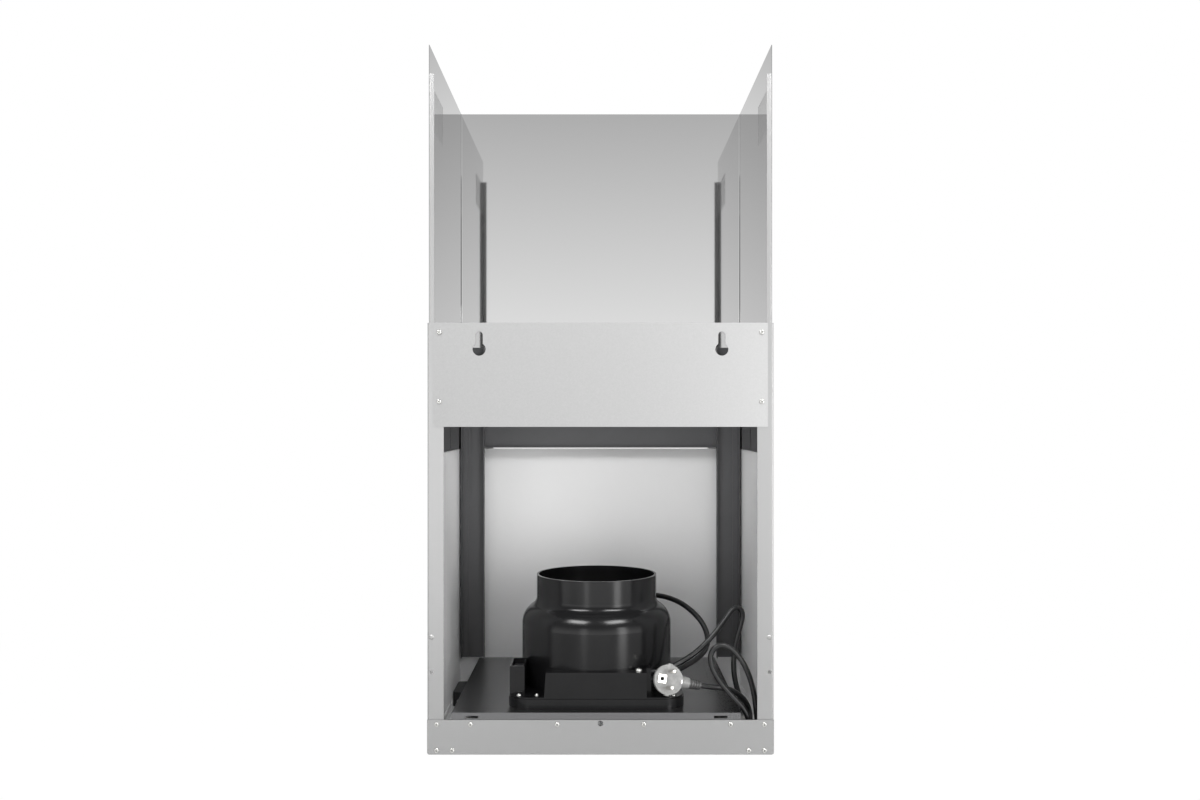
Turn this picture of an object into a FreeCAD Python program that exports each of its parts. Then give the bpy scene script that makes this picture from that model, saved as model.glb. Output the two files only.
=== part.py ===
import FreeCAD, Part
import math
import os

from FreeCAD import Placement, Rotation, Vector

# Wall-hung column range hood with a telescopic chimney cover, open at the back.
# Millimetres, +Z up. The wall is the plane Y = 0 and the room side is negative Y, so a depth
# is counted from the wall. X is positive to the right for someone who faces the hood.
# Heights are counted from the bottom edge of the body, and every shape is lowered at the end
# so that the origin lies on the wall midway between the centres of the two keyholes.

# Body wrap
body_width = 400.0
body_depth = 300.0
body_height = 498.0
sheet = 1.0
bend = 1.2
body_flange = 19.0
flange_hole_height = 95.0
flange_hole_radius = 2.0
flange_fixing_inset = 5.0
rivet_height = 135.0

# Clearances
fit_gap = 0.3
running_gap = 0.05
slide_gap = 0.4
overrun = 2.0

# Wall plate
back_sheet = 1.5
plate_side_gap = 7.0
plate_height = 120.0
plate_fold = 9.0
plate_fold_inset = 16.0
keyhole_spacing = 280.0
keyhole_drop = 30.5
keyhole_radius = 7.5
keyhole_slot = 8.5
keyhole_rise = 20.5
plate_screw_inset = 7.0
plate_screw_drop = 11.0
plate_screw_pitch = 80.0

# Rear bottom panel
panel_height = 40.0
panel_corner = 3.0
panel_fold = 12.0
panel_fold_inset = 41.0
panel_screw_top = 35.0
panel_screw_low = 5.0
panel_screw_insets = (11.0, 50.0)
panel_low_insets = (11.0, 29.0)
panel_middle_screw = 50.0
safety_hole_height = 36.0
safety_hole_radius = 3.15

# Screws and rivets
screw_head_radius = 2.9
screw_head_height = 1.9
screw_head_chamfer = 0.7
screw_radius = 1.75
screw_length = 7.0
rivet_head_radius = 3.0
rivet_head_height = 0.9
rivet_radius = 1.6
big_head_radius = 4.2
big_head_height = 2.6

# Chimney cover
chimney_sheet = 0.8
chimney_height = 475.0
chimney_rise = 322.0
chimney_flange = 6.3
chimney_flange_cut = 34.0
vent_drop = 42.0
vent_length = 49.0
vent_width = 3.4
vent_pitch = 8.0
vent_count = 13
vent_start = 14.0

# Stop clips behind the rivets
clip_sheet = 1.2
clip_rise = 9.7
clip_height = 18.0
clip_width = 11.0
clip_reach = 12.0

# Guide frame inside the chimney cover: two rails in the front corners and a bar across
frame_sheet = 1.0
frame_gap = 1.3
frame_flange = 10.0
rail_width = 32.5
rail_bead = 3.0
rail_bead_width = 4.3
rail_bead_inset = 9.3
rail_lift = 2.0
rail_drop = 10.0
bar_height = 50.0
bar_rise = 1.7
weld_pad_height = 60.0
weld_pad_inset = 7.0

# Motor deck
deck_height = 48.0
deck_sheet = 1.2
deck_cable_gap = 37.0
deck_far_gap = 27.0
deck_lip = 20.0
deck_front_lip = 8.0
deck_side_lip = 9.0
deck_hole_gap = 4.0
deck_slot_width = 15.5
deck_slot_height = 3.0
deck_slot_drop = 5.0
deck_slot_inset = 15.5

# Blower housing
blower_x = 5.0
blower_near = 16.0
base_side_rim = 11.0
base_end_rim = 8.0
base_height = 11.5
base_corner = 26.0
foot_sheet = 1.8
foot_inset = 1.5
inlet_gap = 5.0
housing_wall = 2.5
housing_radius = 93.0
housing_height = 145.0
neck_radius = 75.0
neck_length = 28.0
shoulder_height = 32.0
shoulder_low_share = 0.7
flap_drop = 26.0
ledge_width = 3.0
ledge_height = 3.0
corner_screw_inset = 13.0
housing_screw_x = 70.0
housing_screw_inset = 13.0

# Inlet grille
grille_overlap = 3.6
grille_sheet = 2.0
grille_ring = 6.0
grille_hub_radius = 13.0
grille_mid_radius = 37.0
grille_bar = 2.4
grille_bars = 9

# Impeller and shaft
blade_count = 9
blade_thickness = 1.8
blade_lean = 50.0
blade_bulge_share = 0.18
blade_root_radius = 30.0
wheel_gap = 6.5
wheel_eye_inset = 27.0
wheel_outlet_inset = 18.0
wheel_floor = 2.0
wheel_eye_rise = 2.0
wheel_shroud_rise = 19.5
wheel_outlet_rise = 35.0
wheel_root_rise = 17.0
wheel_sheet = 1.8
boss_radius = 11.0
boss_low = 6.0
shaft_radius = 4.0

# Motor and its carrier
motor_radius = 38.0
motor_height = 42.0
motor_nose_radius = 15.0
motor_nose_height = 4.0
motor_chamfer = 4.0
motor_lift = 6.0
carrier_wall = 2.4
carrier_cup_height = 24.0
carrier_ring_height = 16.0
carrier_vanes = 7
carrier_vane_sheet = 2.2
carrier_vane_turn = 24.0
carrier_bulge_share = -0.12

# Non-return flaps
flap_sheet = 1.6
flap_radius = 71.5
flap_edge = 3.8
flap_sleeve_radius = 3.4
flap_sleeve_length = 17.0
flap_sleeve_places = (44.3, -12.75)
spindle_radius = 2.0

# Boxes on the blower base
terminal_edge = 19.0
terminal_width = 17.5
terminal_near = 19.0
terminal_length = 46.0
terminal_height = 33.0
terminal_wall = 1.8
capacitor_width = 12.0
capacitor_length = 38.0
capacitor_height = 25.0
cover_low_x = -59.0
cover_high_x = 61.0
cover_slant = 2.0
cover_near = 1.5
cover_length = 30.0
cover_height = 29.0
cover_wall = 2.0
clamp_width = 5.7
clamp_near = 17.0
clamp_length = 18.0
clamp_height = 30.7
clamp_screw_x = -50.0
clamp_screw_near = 13.5
grommet_radius = 5.5
grommet_inset = 3.0
grommet_length = 15.5
grommet_angle = 50.0
grommet_height = 106.0

# Bottom tray
tray_flange = 10.0
opening_lip = 9.0
lamp_inset = 35.0
lamp_depth_share = 0.5
lamp_hole_radius = 22.0

# Grease filter
filter_side = 70.0
filter_front = 35.8
filter_height = 9.0
filter_bar = 12.0
filter_side_gap = 1.0
filter_floor = 0.6
filter_rear = 38.2
filter_pivot_inset = 3.0
filter_sweep_gap = 0.5
filter_pin_radius = 2.0
filter_pin_reach = 4.0
mesh_sheet = 1.0
mesh_overlap = 4.0
mesh_columns = 12
mesh_rows = 9
mesh_open_share = 0.66

# Filter latch
latch_pad_width = 62.0
latch_pad_length = 26.0
latch_pocket_roof = 2.2
latch_width = 44.0
latch_finger_width = 30.0
latch_length = 12.0
latch_rise = 3.0
latch_travel = 5.0
latch_bolt_width = 14.0
latch_bolt_height = 2.4
latch_grip = 3.0

# Lamps
lamp_ring_radius = 25.0
lamp_ring_sheet = 1.2
lamp_lens_radius = 18.5
lamp_lens_sheet = 2.0
lamp_ring_height = 7.0
lamp_body_radius = 20.0
lamp_body_height = 16.0
lamp_fin_radius = 15.0
lamp_fin_sheet = 1.6
lamp_fins = 4
driver_width = 42.0
driver_length = 62.0
driver_height = 19.0
driver_front = 33.0
driver_corner = 4.0

# Control
button_count = 5
button_pitch = 20.0
button_radius = 5.0
button_dome = 0.8
button_reach = 3.4
button_tail = 15.0
button_travel = 2.5
control_height = 22.0
bezel_width = 112.0
bezel_height = 20.0
bezel_sheet = 1.4
bezel_neck_height = 13.0
bezel_neck_width = 104.0
switch_width = 118.0
switch_height = 20.0
switch_length = 22.0

# Plug, in its own frame: X towards the cord, Y along the line of pins, Z the way the pins point
plug_radius = 17.5
plug_rim = 5.0
plug_back_radius = 13.0
plug_length = 17.0
plug_waist_radius = 15.5
plug_waist = 12.0
plug_exit = 27.0
plug_exit_radius = 7.0
plug_root_radius = 8.0
plug_axis_depth = 9.0
plug_ear = 5.0
plug_ear_reach = 1.2
pin_radius = 2.4
pin_length = 19.0
pin_pitch = 19.0
pin_tip = 1.0
earth_place = 8.0
earth_pad = 10.0
earth_pad_height = 0.8
earth_hole_radius = 2.4
earth_clip_width = 4.0
earth_clip_sheet = 1.0
earth_clip_length = 9.0
relief_length = 16.0
relief_root_radius = 6.5
relief_tip_radius = 5.2
relief_ribs = 5
relief_groove = 1.7
plug_place = (-80.0, -22.0, 81.3)
plug_pin_line = (-0.16, -0.25, 1.0)
plug_pins_point = (-0.25, 0.94, 0.23)

# Cords: section, and the points of the two routes, chosen by hand along the photographed lines
cord_radius = 3.2
lead_radius = 3.4
arc_share = 0.45
route_side = 200.0
route_lean_start = 125.0
route_lean_end = 165.0
route_blower_depth = 117.0
lead_end_points = 4
power_cord_points = (
    (-60.0, -45.0, 85.2), (-68.5, -45.0, 85.2), (-84.0, -52.0, 89.0), (-103.0, -58.0, 97.3),
    (-122.0, -65.0, 109.5), (-139.0, -70.5, 126.0), (-151.5, -74.5, 141.5), (-160.5, -77.5, 153.0),
    (-166.5, -79.0, 156.8), (-171.7, -80.5, 154.2), (-174.4, -81.5, 148.0), (-172.8, -82.0, 137.0),
    (-167.0, -81.0, 119.0), (-163.0, -79.0, 98.0), (-163.0, -77.5, 72.0), (-170.0, -77.0, 47.0),
    (-181.5, -76.0, 25.0), (-184.5, -61.5, 10.0), (-185.5, -40.0, 9.5), (-185.0, -25.0, 24.0),
    (-183.0, -24.0, 44.0), (-180.5, -23.0, 64.0), (-175.0, -21.5, 85.0), (-166.5, -20.5, 103.5),
    (-153.5, -20.0, 119.0), (-139.0, -20.0, 123.5), (-128.5, -19.5, 114.0), (-129.0, -19.0, 98.0),
    (-139.0, -17.5, 80.0), (-154.5, -16.0, 62.5), (-168.5, -15.0, 48.5), (-174.0, -15.0, 32.0),
    (-175.5, -27.5, 19.7), (-178.0, -45.0, 19.5), (-180.5, -58.5, 31.5), (-176.0, -56.5, 46.0),
    (-165.5, -51.5, 57.5), (-151.0, -46.5, 65.5), (-131.4, -41.93, 67.78),
    (-118.91, -39.26, 70.44),
)
motor_lead_points = (
    (-51.24, -184.03, 154.0), (-55.42, -189.01, 154.0), (-66.0, -195.0, 153.6),
    (-79.0, -194.0, 152.6), (-92.0, -183.0, 151.0), (-105.5, -169.0, 147.0),
    (-119.5, -154.5, 138.0), (-131.5, -140.0, 125.5), (-136.5, -124.0, 110.0),
    (-131.5, -108.0, 97.5), (-118.0, -92.0, 89.5), (-100.5, -76.0, 84.0), (-86.5, -59.0, 80.5),
    (-73.5, -44.5, 76.5), (-60.0, -44.5, 76.5),
)

# Places that follow from the sizes above
keyhole_height = body_height - keyhole_drop
half_width = body_width / 2
inner_half = half_width - sheet
plate_width = body_width - 2 * plate_side_gap
flange_face = back_sheet + sheet
chimney_half = inner_half - slide_gap
chimney_back = flange_face + slide_gap
chimney_front = body_depth - sheet - slide_gap
chimney_bottom = body_height + chimney_rise - chimney_height
frame_half = chimney_half - chimney_sheet - frame_gap
frame_front = chimney_front - chimney_sheet - frame_gap
web_front = frame_front - rail_bead
web_back = web_front - frame_sheet
flange_back = web_front - frame_flange
rail_inner = frame_half - rail_width
base_width = 2 * (housing_radius + base_side_rim)
base_length = 2 * (housing_radius + base_end_rim)
blower_depth = blower_near + base_length / 2
base_top = deck_height + base_height
foot_top = base_top + foot_sheet
rim_height = deck_height + housing_height
shoulder_top = rim_height - neck_length
shoulder_bottom = shoulder_top - shoulder_height
flap_height = rim_height - flap_drop
wheel_radius = housing_radius - housing_wall - wheel_gap
wheel_outlet_radius = wheel_radius - wheel_outlet_inset
eye_radius = wheel_radius - wheel_eye_inset
inlet_radius = eye_radius + inlet_gap
grille_radius = inlet_radius + grille_overlap
deck_hole_radius = inlet_radius + deck_hole_gap
terminal_x = base_width / 2 - terminal_edge
wheel_height = base_top + wheel_floor
motor_bottom = wheel_height + wheel_outlet_rise + wheel_sheet + motor_lift
filter_width = body_width - 2 * filter_side
filter_length = body_depth - filter_rear - filter_front
lamp_x = half_width - lamp_inset
lamp_depth = body_depth * lamp_depth_share
pivot_depth = filter_rear + filter_pivot_inset
pivot_height = filter_floor + filter_height / 2
pivot_sweep = math.hypot(filter_pivot_inset, filter_height / 2)
opening_rear = pivot_depth - pivot_sweep - filter_sweep_gap
opening_front = filter_rear + filter_length + filter_side_gap
opening_half = filter_width / 2 + filter_side_gap
tray_rear = flange_face
tray_half = inner_half - fit_gap
tray_front = body_depth - sheet - fit_gap

RIGHT = Vector(1, 0, 0)
TO_WALL = Vector(0, 1, 0)
TO_ROOM = Vector(0, -1, 0)
UP = Vector(0, 0, 1)
DOWN = Vector(0, 0, -1)


def box(low, high):
    """A block between two corners."""
    size = high - low
    return Part.makeBox(size.x, size.y, size.z, low)


def rod(radius, height, place, direction=UP):
    """A cylinder that starts at a place."""
    return Part.makeCylinder(radius, height, place, direction)


def path_edges(points, radii, closed):
    """Straight runs between points, joined by tangent arcs of the given radii."""
    count = len(points)
    corners = []
    for index, point in enumerate(points):
        is_end = not closed and index in (0, count - 1)
        radius = 0 if is_end else radii[index]
        if not radius:
            corners.append((point, None, point))
            continue
        back = (points[index - 1] - point).normalize()
        ahead = (points[(index + 1) % count] - point).normalize()
        half_turn = (math.pi - back.getAngle(ahead)) / 2
        cut = radius * math.tan(half_turn)
        inward = (back + ahead).normalize()
        middle = point + inward * (radius / math.cos(half_turn) - radius)
        corners.append((point + back * cut, middle, point + ahead * cut))
    edges = []
    last = count if closed else count - 1
    for index, (start, middle, end) in enumerate(corners):
        if middle is not None:
            edges.append(Part.Arc(start, middle, end).toShape())
        if index < last:
            following = corners[(index + 1) % count][0]
            edges.append(Part.LineSegment(end, following).toShape())
    return edges


def outline_face(points, radii=None):
    """A flat face with rounded corners where radii are given."""
    radii = radii or [0] * len(points)
    return Part.Face(Part.Wire(path_edges(points, radii, closed=True)))


def slab(points, height, direction=UP, radii=None):
    """An outline pushed along a direction."""
    return outline_face(points, radii).extrude(direction * height)


def turned(profile, place, direction=UP):
    """A closed (radius, height) profile turned about an upright axis, then aimed and placed."""
    points = [Vector(radius, 0, height) for radius, height in profile]
    solid = outline_face(points).revolve(Vector(), UP, 360)
    solid.Placement = Placement(place, Rotation(UP, direction))
    return solid


def fused(shapes):
    """One solid out of several."""
    return shapes[0].multiFuse(shapes[1:]).removeSplitter()


def mirrored(shape):
    """The same shape on the other side of the hood's middle plane."""
    return shape.mirror(Vector(), RIGHT)


def pan_screw(place, direction, head_radius=screw_head_radius, head_height=screw_head_height):
    """A pan-head screw: the head stands on its seat at the place, the shank goes the other way."""
    rim = head_radius - screw_head_chamfer
    profile = (
        (0, -screw_length), (screw_radius, -screw_length), (screw_radius, 0), (head_radius, 0),
        (head_radius, head_height - screw_head_chamfer), (rim, head_height), (0, head_height),
    )
    return turned(profile, place, direction)


def screw_hole(place, direction):
    """The hole that a screw's shank passes through."""
    start = place + direction * overrun
    return rod(screw_radius + running_gap, screw_length + 2 * overrun, start, direction * -1)


def wrap(half, back, front, flange, thickness, height):
    """A sheet folded round the front and sides, with a narrow return at the back."""
    outer = [
        (half - flange, back), (half, back), (half, front),
        (-half, front), (-half, back), (flange - half, back),
    ]
    deep = half - thickness
    inner = [
        (flange - half, back + thickness), (-deep, back + thickness), (-deep, front - thickness),
        (deep, front - thickness), (deep, back + thickness), (half - flange, back + thickness),
    ]
    points = [Vector(x, -depth, 0) for x, depth in outer + inner]
    wide = bend + thickness
    radii = [0, wide, wide, wide, wide, 0, 0, bend, bend, bend, bend, 0]
    return slab(points, height, UP, radii)


def panel_screw_points():
    """Where the ten screws of the rear bottom panel stand."""
    upper = [half_width - inset for inset in panel_screw_insets] + [panel_middle_screw]
    lower = [half_width - inset for inset in panel_low_insets]
    top = [(side * x, panel_screw_top) for x in upper for side in (-1, 1)]
    low = [(side * x, panel_screw_low) for x in lower for side in (-1, 1)]
    return [Vector(x, 0, height) for x, height in top + low]


def plate_screw_points():
    """Where the four screws of the wall plate stand."""
    x = plate_width / 2 - plate_screw_inset
    top = body_height - plate_screw_drop
    heights = (top, top - plate_screw_pitch)
    return [Vector(side * x, 0, height) for side in (-1, 1) for height in heights]


def rivet_points():
    """Where the two rivets stand on the rear flanges."""
    x = half_width - flange_fixing_inset
    return [Vector(side * x, -back_sheet, rivet_height) for side in (-1, 1)]


def make_body_shell():
    """Front, sides and rear flanges of the body, with the holes in them."""
    shell = wrap(half_width, back_sheet, body_depth, body_flange, sheet, body_height)
    cuts = [screw_hole(point, TO_WALL) for point in panel_screw_points() + plate_screw_points()]
    for point in rivet_points():
        cuts.append(rod(rivet_radius, sheet + 2 * overrun, point + TO_WALL * overrun, TO_ROOM))
        low = Vector(point.x, overrun - back_sheet, flange_hole_height)
        cuts.append(rod(flange_hole_radius, sheet + 2 * overrun, low, TO_ROOM))
    neck_half = bezel_neck_width / 2 + fit_gap
    neck_high = bezel_neck_height / 2 + fit_gap
    cuts.append(box(
        Vector(-neck_half, -body_depth - overrun, control_height - neck_high),
        Vector(neck_half, overrun + sheet - body_depth, control_height + neck_high),
    ))
    return shell.cut(cuts)


def make_wall_plate():
    """The hanger plate, folded forward at top and bottom, with two keyholes."""
    half = plate_width / 2
    bottom = body_height - plate_height
    plate = box(Vector(-half, -back_sheet, bottom), Vector(half, 0, body_height))
    fold_half = half - plate_fold_inset
    folds = [
        box(Vector(-fold_half, -plate_fold, height), Vector(fold_half, 0, height + back_sheet))
        for height in (bottom, body_height - back_sheet)
    ]
    cuts = [screw_hole(point, TO_WALL) for point in plate_screw_points()]
    slot_top = keyhole_height + keyhole_rise - keyhole_slot / 2
    through = back_sheet + 2 * overrun
    for side in (-1, 1):
        x = side * keyhole_spacing / 2
        cuts.append(rod(keyhole_radius, through, Vector(x, overrun, keyhole_height), TO_ROOM))
        cuts.append(rod(keyhole_slot / 2, through, Vector(x, overrun, slot_top), TO_ROOM))
        cuts.append(box(
            Vector(x - keyhole_slot / 2, -back_sheet - overrun, keyhole_height),
            Vector(x + keyhole_slot / 2, overrun, slot_top),
        ))
    return fused([plate] + folds).cut(cuts)


def make_rear_bottom_panel():
    """The panel across the bottom of the back, folded forward under the tray."""
    corners = [
        Vector(-half_width, 0, 0), Vector(half_width, 0, 0),
        Vector(half_width, 0, panel_height), Vector(-half_width, 0, panel_height),
    ]
    panel = slab(corners, back_sheet, TO_ROOM, [panel_corner, panel_corner, 0, 0])
    fold_half = half_width - panel_fold_inset
    fold = box(Vector(-fold_half, -panel_fold, 0), Vector(fold_half, 0, back_sheet))
    cuts = [screw_hole(point, TO_WALL) for point in panel_screw_points()]
    cuts.append(safety_hole())
    return fused([panel, fold]).cut(cuts)


def safety_hole():
    """The hole for the screw that secures the hung hood to the wall."""
    start = Vector(0, overrun, safety_hole_height)
    return rod(safety_hole_radius, back_sheet + deck_sheet + 2 * overrun, start, TO_ROOM)


def make_chimney_cover():
    """The telescopic cover, with a row of vent slots at the top of each side."""
    cover = wrap(chimney_half, chimney_back, chimney_front, chimney_flange, chimney_sheet,
                 chimney_height)
    cover.translate(UP * chimney_bottom)
    top = chimney_bottom + chimney_height
    reach = chimney_sheet + bend
    cuts = [box(
        Vector(-chimney_half - overrun, -chimney_back - reach, top - chimney_flange_cut),
        Vector(chimney_half + overrun, overrun - chimney_back, top + overrun),
    )]
    slot_top = top - vent_drop
    for index in range(vent_count):
        depth = vent_start + index * vent_pitch
        cuts.append(box(
            Vector(-chimney_half - overrun, -depth - vent_width / 2, slot_top - vent_length),
            Vector(chimney_half + overrun, vent_width / 2 - depth, slot_top),
        ))
    return cover.cut(cuts)


def make_stop_clip():
    """One of the two clips that the lowered chimney cover rests on."""
    top = rivet_height + clip_rise
    outer = inner_half
    leg = box(Vector(outer - clip_width, -flange_face - clip_sheet, top - clip_height),
              Vector(outer, -flange_face, top))
    shelf = box(Vector(outer - clip_width, -flange_face - clip_reach, top - clip_sheet),
                Vector(outer, -flange_face, top))
    place = rivet_points()[1] + TO_WALL * overrun
    corner = bend + fit_gap
    relief = box(Vector(outer - corner, -flange_face - corner, top - clip_height - overrun),
                 Vector(outer + overrun, overrun - flange_face, top + overrun))
    hole = rod(rivet_radius, flange_face + clip_sheet + 2 * overrun, place, TO_ROOM)
    return fused([leg, shelf]).cut([hole, relief])


def make_rivets():
    """The two blind rivets that hold the stop clips."""
    shank = sheet + clip_sheet
    profile = (
        (0, -shank), (rivet_radius, -shank), (rivet_radius, 0),
        (rivet_head_radius, 0), (rivet_radius, rivet_head_height), (0, rivet_head_height),
    )
    return Part.Compound([turned(profile, point, TO_WALL) for point in rivet_points()])


def make_guide_rail():
    """One rail: a channel open to the rear, with a pressed bead, welded on by a pad at its foot."""
    low = deck_height + rail_lift
    top = body_height - rail_drop
    channel = box(Vector(rail_inner, -web_front, low), Vector(frame_half, -flange_back, top))
    hollow = box(Vector(rail_inner + frame_sheet, -web_back, low - overrun),
                 Vector(frame_half - frame_sheet, overrun - flange_back, top + overrun))
    outer = frame_half - rail_bead_inset
    inner = outer - rail_bead_width
    bead = box(Vector(inner - frame_sheet, -frame_front, low),
               Vector(outer + frame_sheet, -web_front, top))
    groove = box(Vector(inner, -web_front, low - overrun),
                 Vector(outer, overrun - web_back, top + overrun))
    pad = box(Vector(rail_inner + weld_pad_inset, sheet - body_depth, low),
              Vector(frame_half - weld_pad_inset, -web_front, low + weld_pad_height))
    return fused([channel.cut([hollow, groove]), bead, pad])


def make_guide_frame():
    """Both rails and the bar between them, which keep the chimney cover from tilting."""
    low = chimney_bottom + bar_rise
    top = low + bar_height
    bar = box(Vector(-rail_inner, -web_front, low), Vector(rail_inner, -flange_back, top))
    hollow = box(Vector(-rail_inner, -web_back, low + frame_sheet),
                 Vector(rail_inner, overrun - flange_back, top - frame_sheet))
    rail = make_guide_rail()
    return fused([rail, mirrored(rail), bar.cut(hollow)])


def make_motor_deck():
    """The tray that carries the blower, folded down on all four sides."""
    left = -inner_half + deck_cable_gap
    right = inner_half - deck_far_gap
    back = back_sheet
    front = body_depth - sheet
    outer = box(Vector(left, -front, deck_height - deck_lip), Vector(right, -back, deck_height))
    hollow = box(
        Vector(left + deck_sheet, deck_sheet - front, deck_height - deck_lip - overrun),
        Vector(right - deck_sheet, -back - deck_sheet, deck_height - deck_sheet),
    )
    under = deck_height - deck_lip - overrun
    open_front = box(Vector(left - overrun, -front - overrun, under),
                     Vector(right + overrun, deck_sheet - front, deck_height - deck_front_lip))
    inside_back = -back - deck_sheet
    open_sides = box(Vector(left - overrun, -front - overrun, under),
                     Vector(right + overrun, inside_back, deck_height - deck_side_lip))
    deck = outer.cut([hollow, open_front, open_sides])
    cuts = [rod(deck_hole_radius, deck_lip, Vector(blower_x, -blower_depth, under + overrun))]
    slot_top = deck_height - deck_slot_drop + deck_slot_height / 2
    for low in (left + deck_slot_inset, right - deck_slot_inset - deck_slot_width):
        cuts.append(box(
            Vector(low, -back - deck_sheet - overrun, slot_top - deck_slot_height),
            Vector(low + deck_slot_width, overrun - back, slot_top),
        ))
    cuts += [screw_hole(point, TO_WALL) for point in panel_screw_points()]
    cuts += [screw_hole(point, UP) for point in base_screw_points()]
    cuts.append(safety_hole())
    return deck.cut(cuts)


def rounded_plate(width, length, corner, bottom, height):
    """A plate with rounded corners, centred on the blower's axis."""
    x, y = width / 2, length / 2
    centre = Vector(blower_x, -blower_depth, bottom)
    corners = [centre + Vector(a, b, 0) for a, b in ((-x, -y), (x, -y), (x, y), (-x, y))]
    return slab(corners, height, UP, [corner] * 4)


def on_blower(x, y, height):
    """A place counted from the blower's axis."""
    return Vector(blower_x + x, y - blower_depth, height)


def base_screw_points():
    """The four corner screws that hold the blower on its deck."""
    x = base_width / 2 - corner_screw_inset
    y = base_length / 2 - corner_screw_inset
    return [on_blower(a * x, b * y, foot_top) for a in (-1, 1) for b in (-1, 1)]


def housing_screw_points():
    """The four screws that hold the housing on its base."""
    y = base_length / 2 - housing_screw_inset
    places = [(a * housing_screw_x, b * y) for a in (-1, 1) for b in (-1, 1)]
    hidden = (-housing_screw_x, y)
    return [on_blower(x, y, foot_top) for x, y in places if (x, y) != hidden]


def make_blower_base():
    """The square base of the blower, with a rounded inlet lip."""
    plate = rounded_plate(base_width, base_length, base_corner, deck_height, base_height)
    axis = on_blower(0, 0, deck_height)
    lip = turned((
        (inlet_radius - wheel_floor, 0), (inlet_radius + base_height / 2, 0),
        (inlet_radius + base_height / 2, base_height), (inlet_radius, base_height),
    ), axis)
    bore = rod(inlet_radius, base_height + 2 * overrun, axis + DOWN * overrun)
    plate = plate.cut(bore).fuse(lip)
    screws = base_screw_points() + housing_screw_points()
    return plate.cut([screw_hole(point, UP) for point in screws]).removeSplitter()


def housing_side(offset):
    """The edges of the housing's side from its foot to its rim, moved inward by an offset."""
    low = housing_radius - offset
    high = neck_radius - offset
    turn = 2 * math.atan2(housing_radius - neck_radius, shoulder_height)
    both = shoulder_height / math.sin(turn)
    lower = both * shoulder_low_share - offset
    upper = both * (1 - shoulder_low_share) + offset
    low_centre = low - lower
    high_centre = high + upper

    def on_low(angle):
        return Vector(low_centre + lower * math.cos(angle), 0,
                      shoulder_bottom + lower * math.sin(angle))

    def on_high(angle):
        return Vector(high_centre - upper * math.cos(angle), 0,
                      shoulder_top - upper * math.sin(angle))

    foot = Vector(low, 0, base_top)
    return [
        Part.LineSegment(foot, on_low(0)).toShape(),
        Part.Arc(on_low(0), on_low(turn / 2), on_low(turn)).toShape(),
        Part.Arc(on_high(turn), on_high(turn / 2), on_high(0)).toShape(),
        Part.LineSegment(on_high(0), Vector(high, 0, rim_height)).toShape(),
    ]


def make_blower_housing():
    """The moulded housing: foot plate, drum, S-shaped shoulder and the duct collar."""
    outer = housing_side(0)
    inner = housing_side(housing_wall)
    foot = Part.LineSegment(Vector(housing_radius - housing_wall, 0, base_top),
                            Vector(housing_radius, 0, base_top)).toShape()
    rim = Part.LineSegment(Vector(neck_radius, 0, rim_height),
                           Vector(neck_radius - housing_wall, 0, rim_height)).toShape()
    wire = Part.Wire(Part.__sortEdges__(outer + inner + [foot, rim]))
    wall = Part.Face(wire).revolve(Vector(), UP, 360)
    wall.translate(on_blower(0, 0, 0))
    plate = rounded_plate(base_width - 2 * foot_inset, base_length - 2 * foot_inset,
                          base_corner - foot_inset, base_top, foot_sheet)
    plate = plate.cut(rod(housing_radius - housing_wall, foot_sheet + 2 * overrun,
                          on_blower(0, 0, base_top - overrun)))
    ledge_top = flap_height - flap_sheet / 2 - fit_gap
    inside = neck_radius - housing_wall
    ledge = turned((
        (inside - ledge_width, ledge_top), (inside - ledge_width, ledge_top - ledge_height / 2),
        (inside + overrun / 2, ledge_top - ledge_height), (inside + overrun / 2, ledge_top),
    ), on_blower(0, 0, 0))
    cuts = [screw_hole(point, UP) for point in base_screw_points() + housing_screw_points()]
    cuts.append(grommet_rod(grommet_radius))
    spindle_half = neck_radius - housing_wall
    cuts.append(rod(spindle_radius, 2 * spindle_half, on_blower(-spindle_half, 0, flap_height),
                    RIGHT))
    return fused([wall, plate, ledge]).cut(cuts)


def grommet_rod(radius):
    """The line of the motor lead's grommet through the shoulder."""
    angle = math.radians(grommet_angle)
    aim = Vector(-math.cos(angle), -math.sin(angle), 0)
    inner = neck_radius - grommet_inset
    start = on_blower(0, 0, deck_height + grommet_height) + aim * inner
    return rod(radius, grommet_length, start, aim)


def make_inlet_grille():
    """The finger guard under the inlet: rings and spokes."""
    low = on_blower(0, 0, deck_height - grille_sheet)
    parts = [rod(grille_hub_radius, grille_sheet, low)]
    for radius in (grille_radius, grille_mid_radius):
        width = grille_ring if radius == grille_radius else grille_bar
        hole = rod(radius - width, grille_sheet, low)
        parts.append(rod(radius, grille_sheet, low).cut(hole))
    reach = grille_radius - grille_ring / 2
    for index in range(grille_bars):
        bar = box(Vector(0, -grille_bar / 2, 0), Vector(reach, grille_bar / 2, grille_sheet))
        bar.Placement = Placement(low, Rotation(UP, 360 * index / grille_bars))
        parts.append(bar)
    return fused(parts)


def wheel_passage(slack):
    """The air passage of the impeller as a turned solid, widened by a slack."""
    return turned((
        (blade_root_radius, wheel_root_rise + slack), (eye_radius, wheel_eye_rise - slack),
        (wheel_radius, wheel_shroud_rise - slack), (wheel_outlet_radius, wheel_outlet_rise + slack),
    ), on_blower(0, 0, wheel_height))


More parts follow.
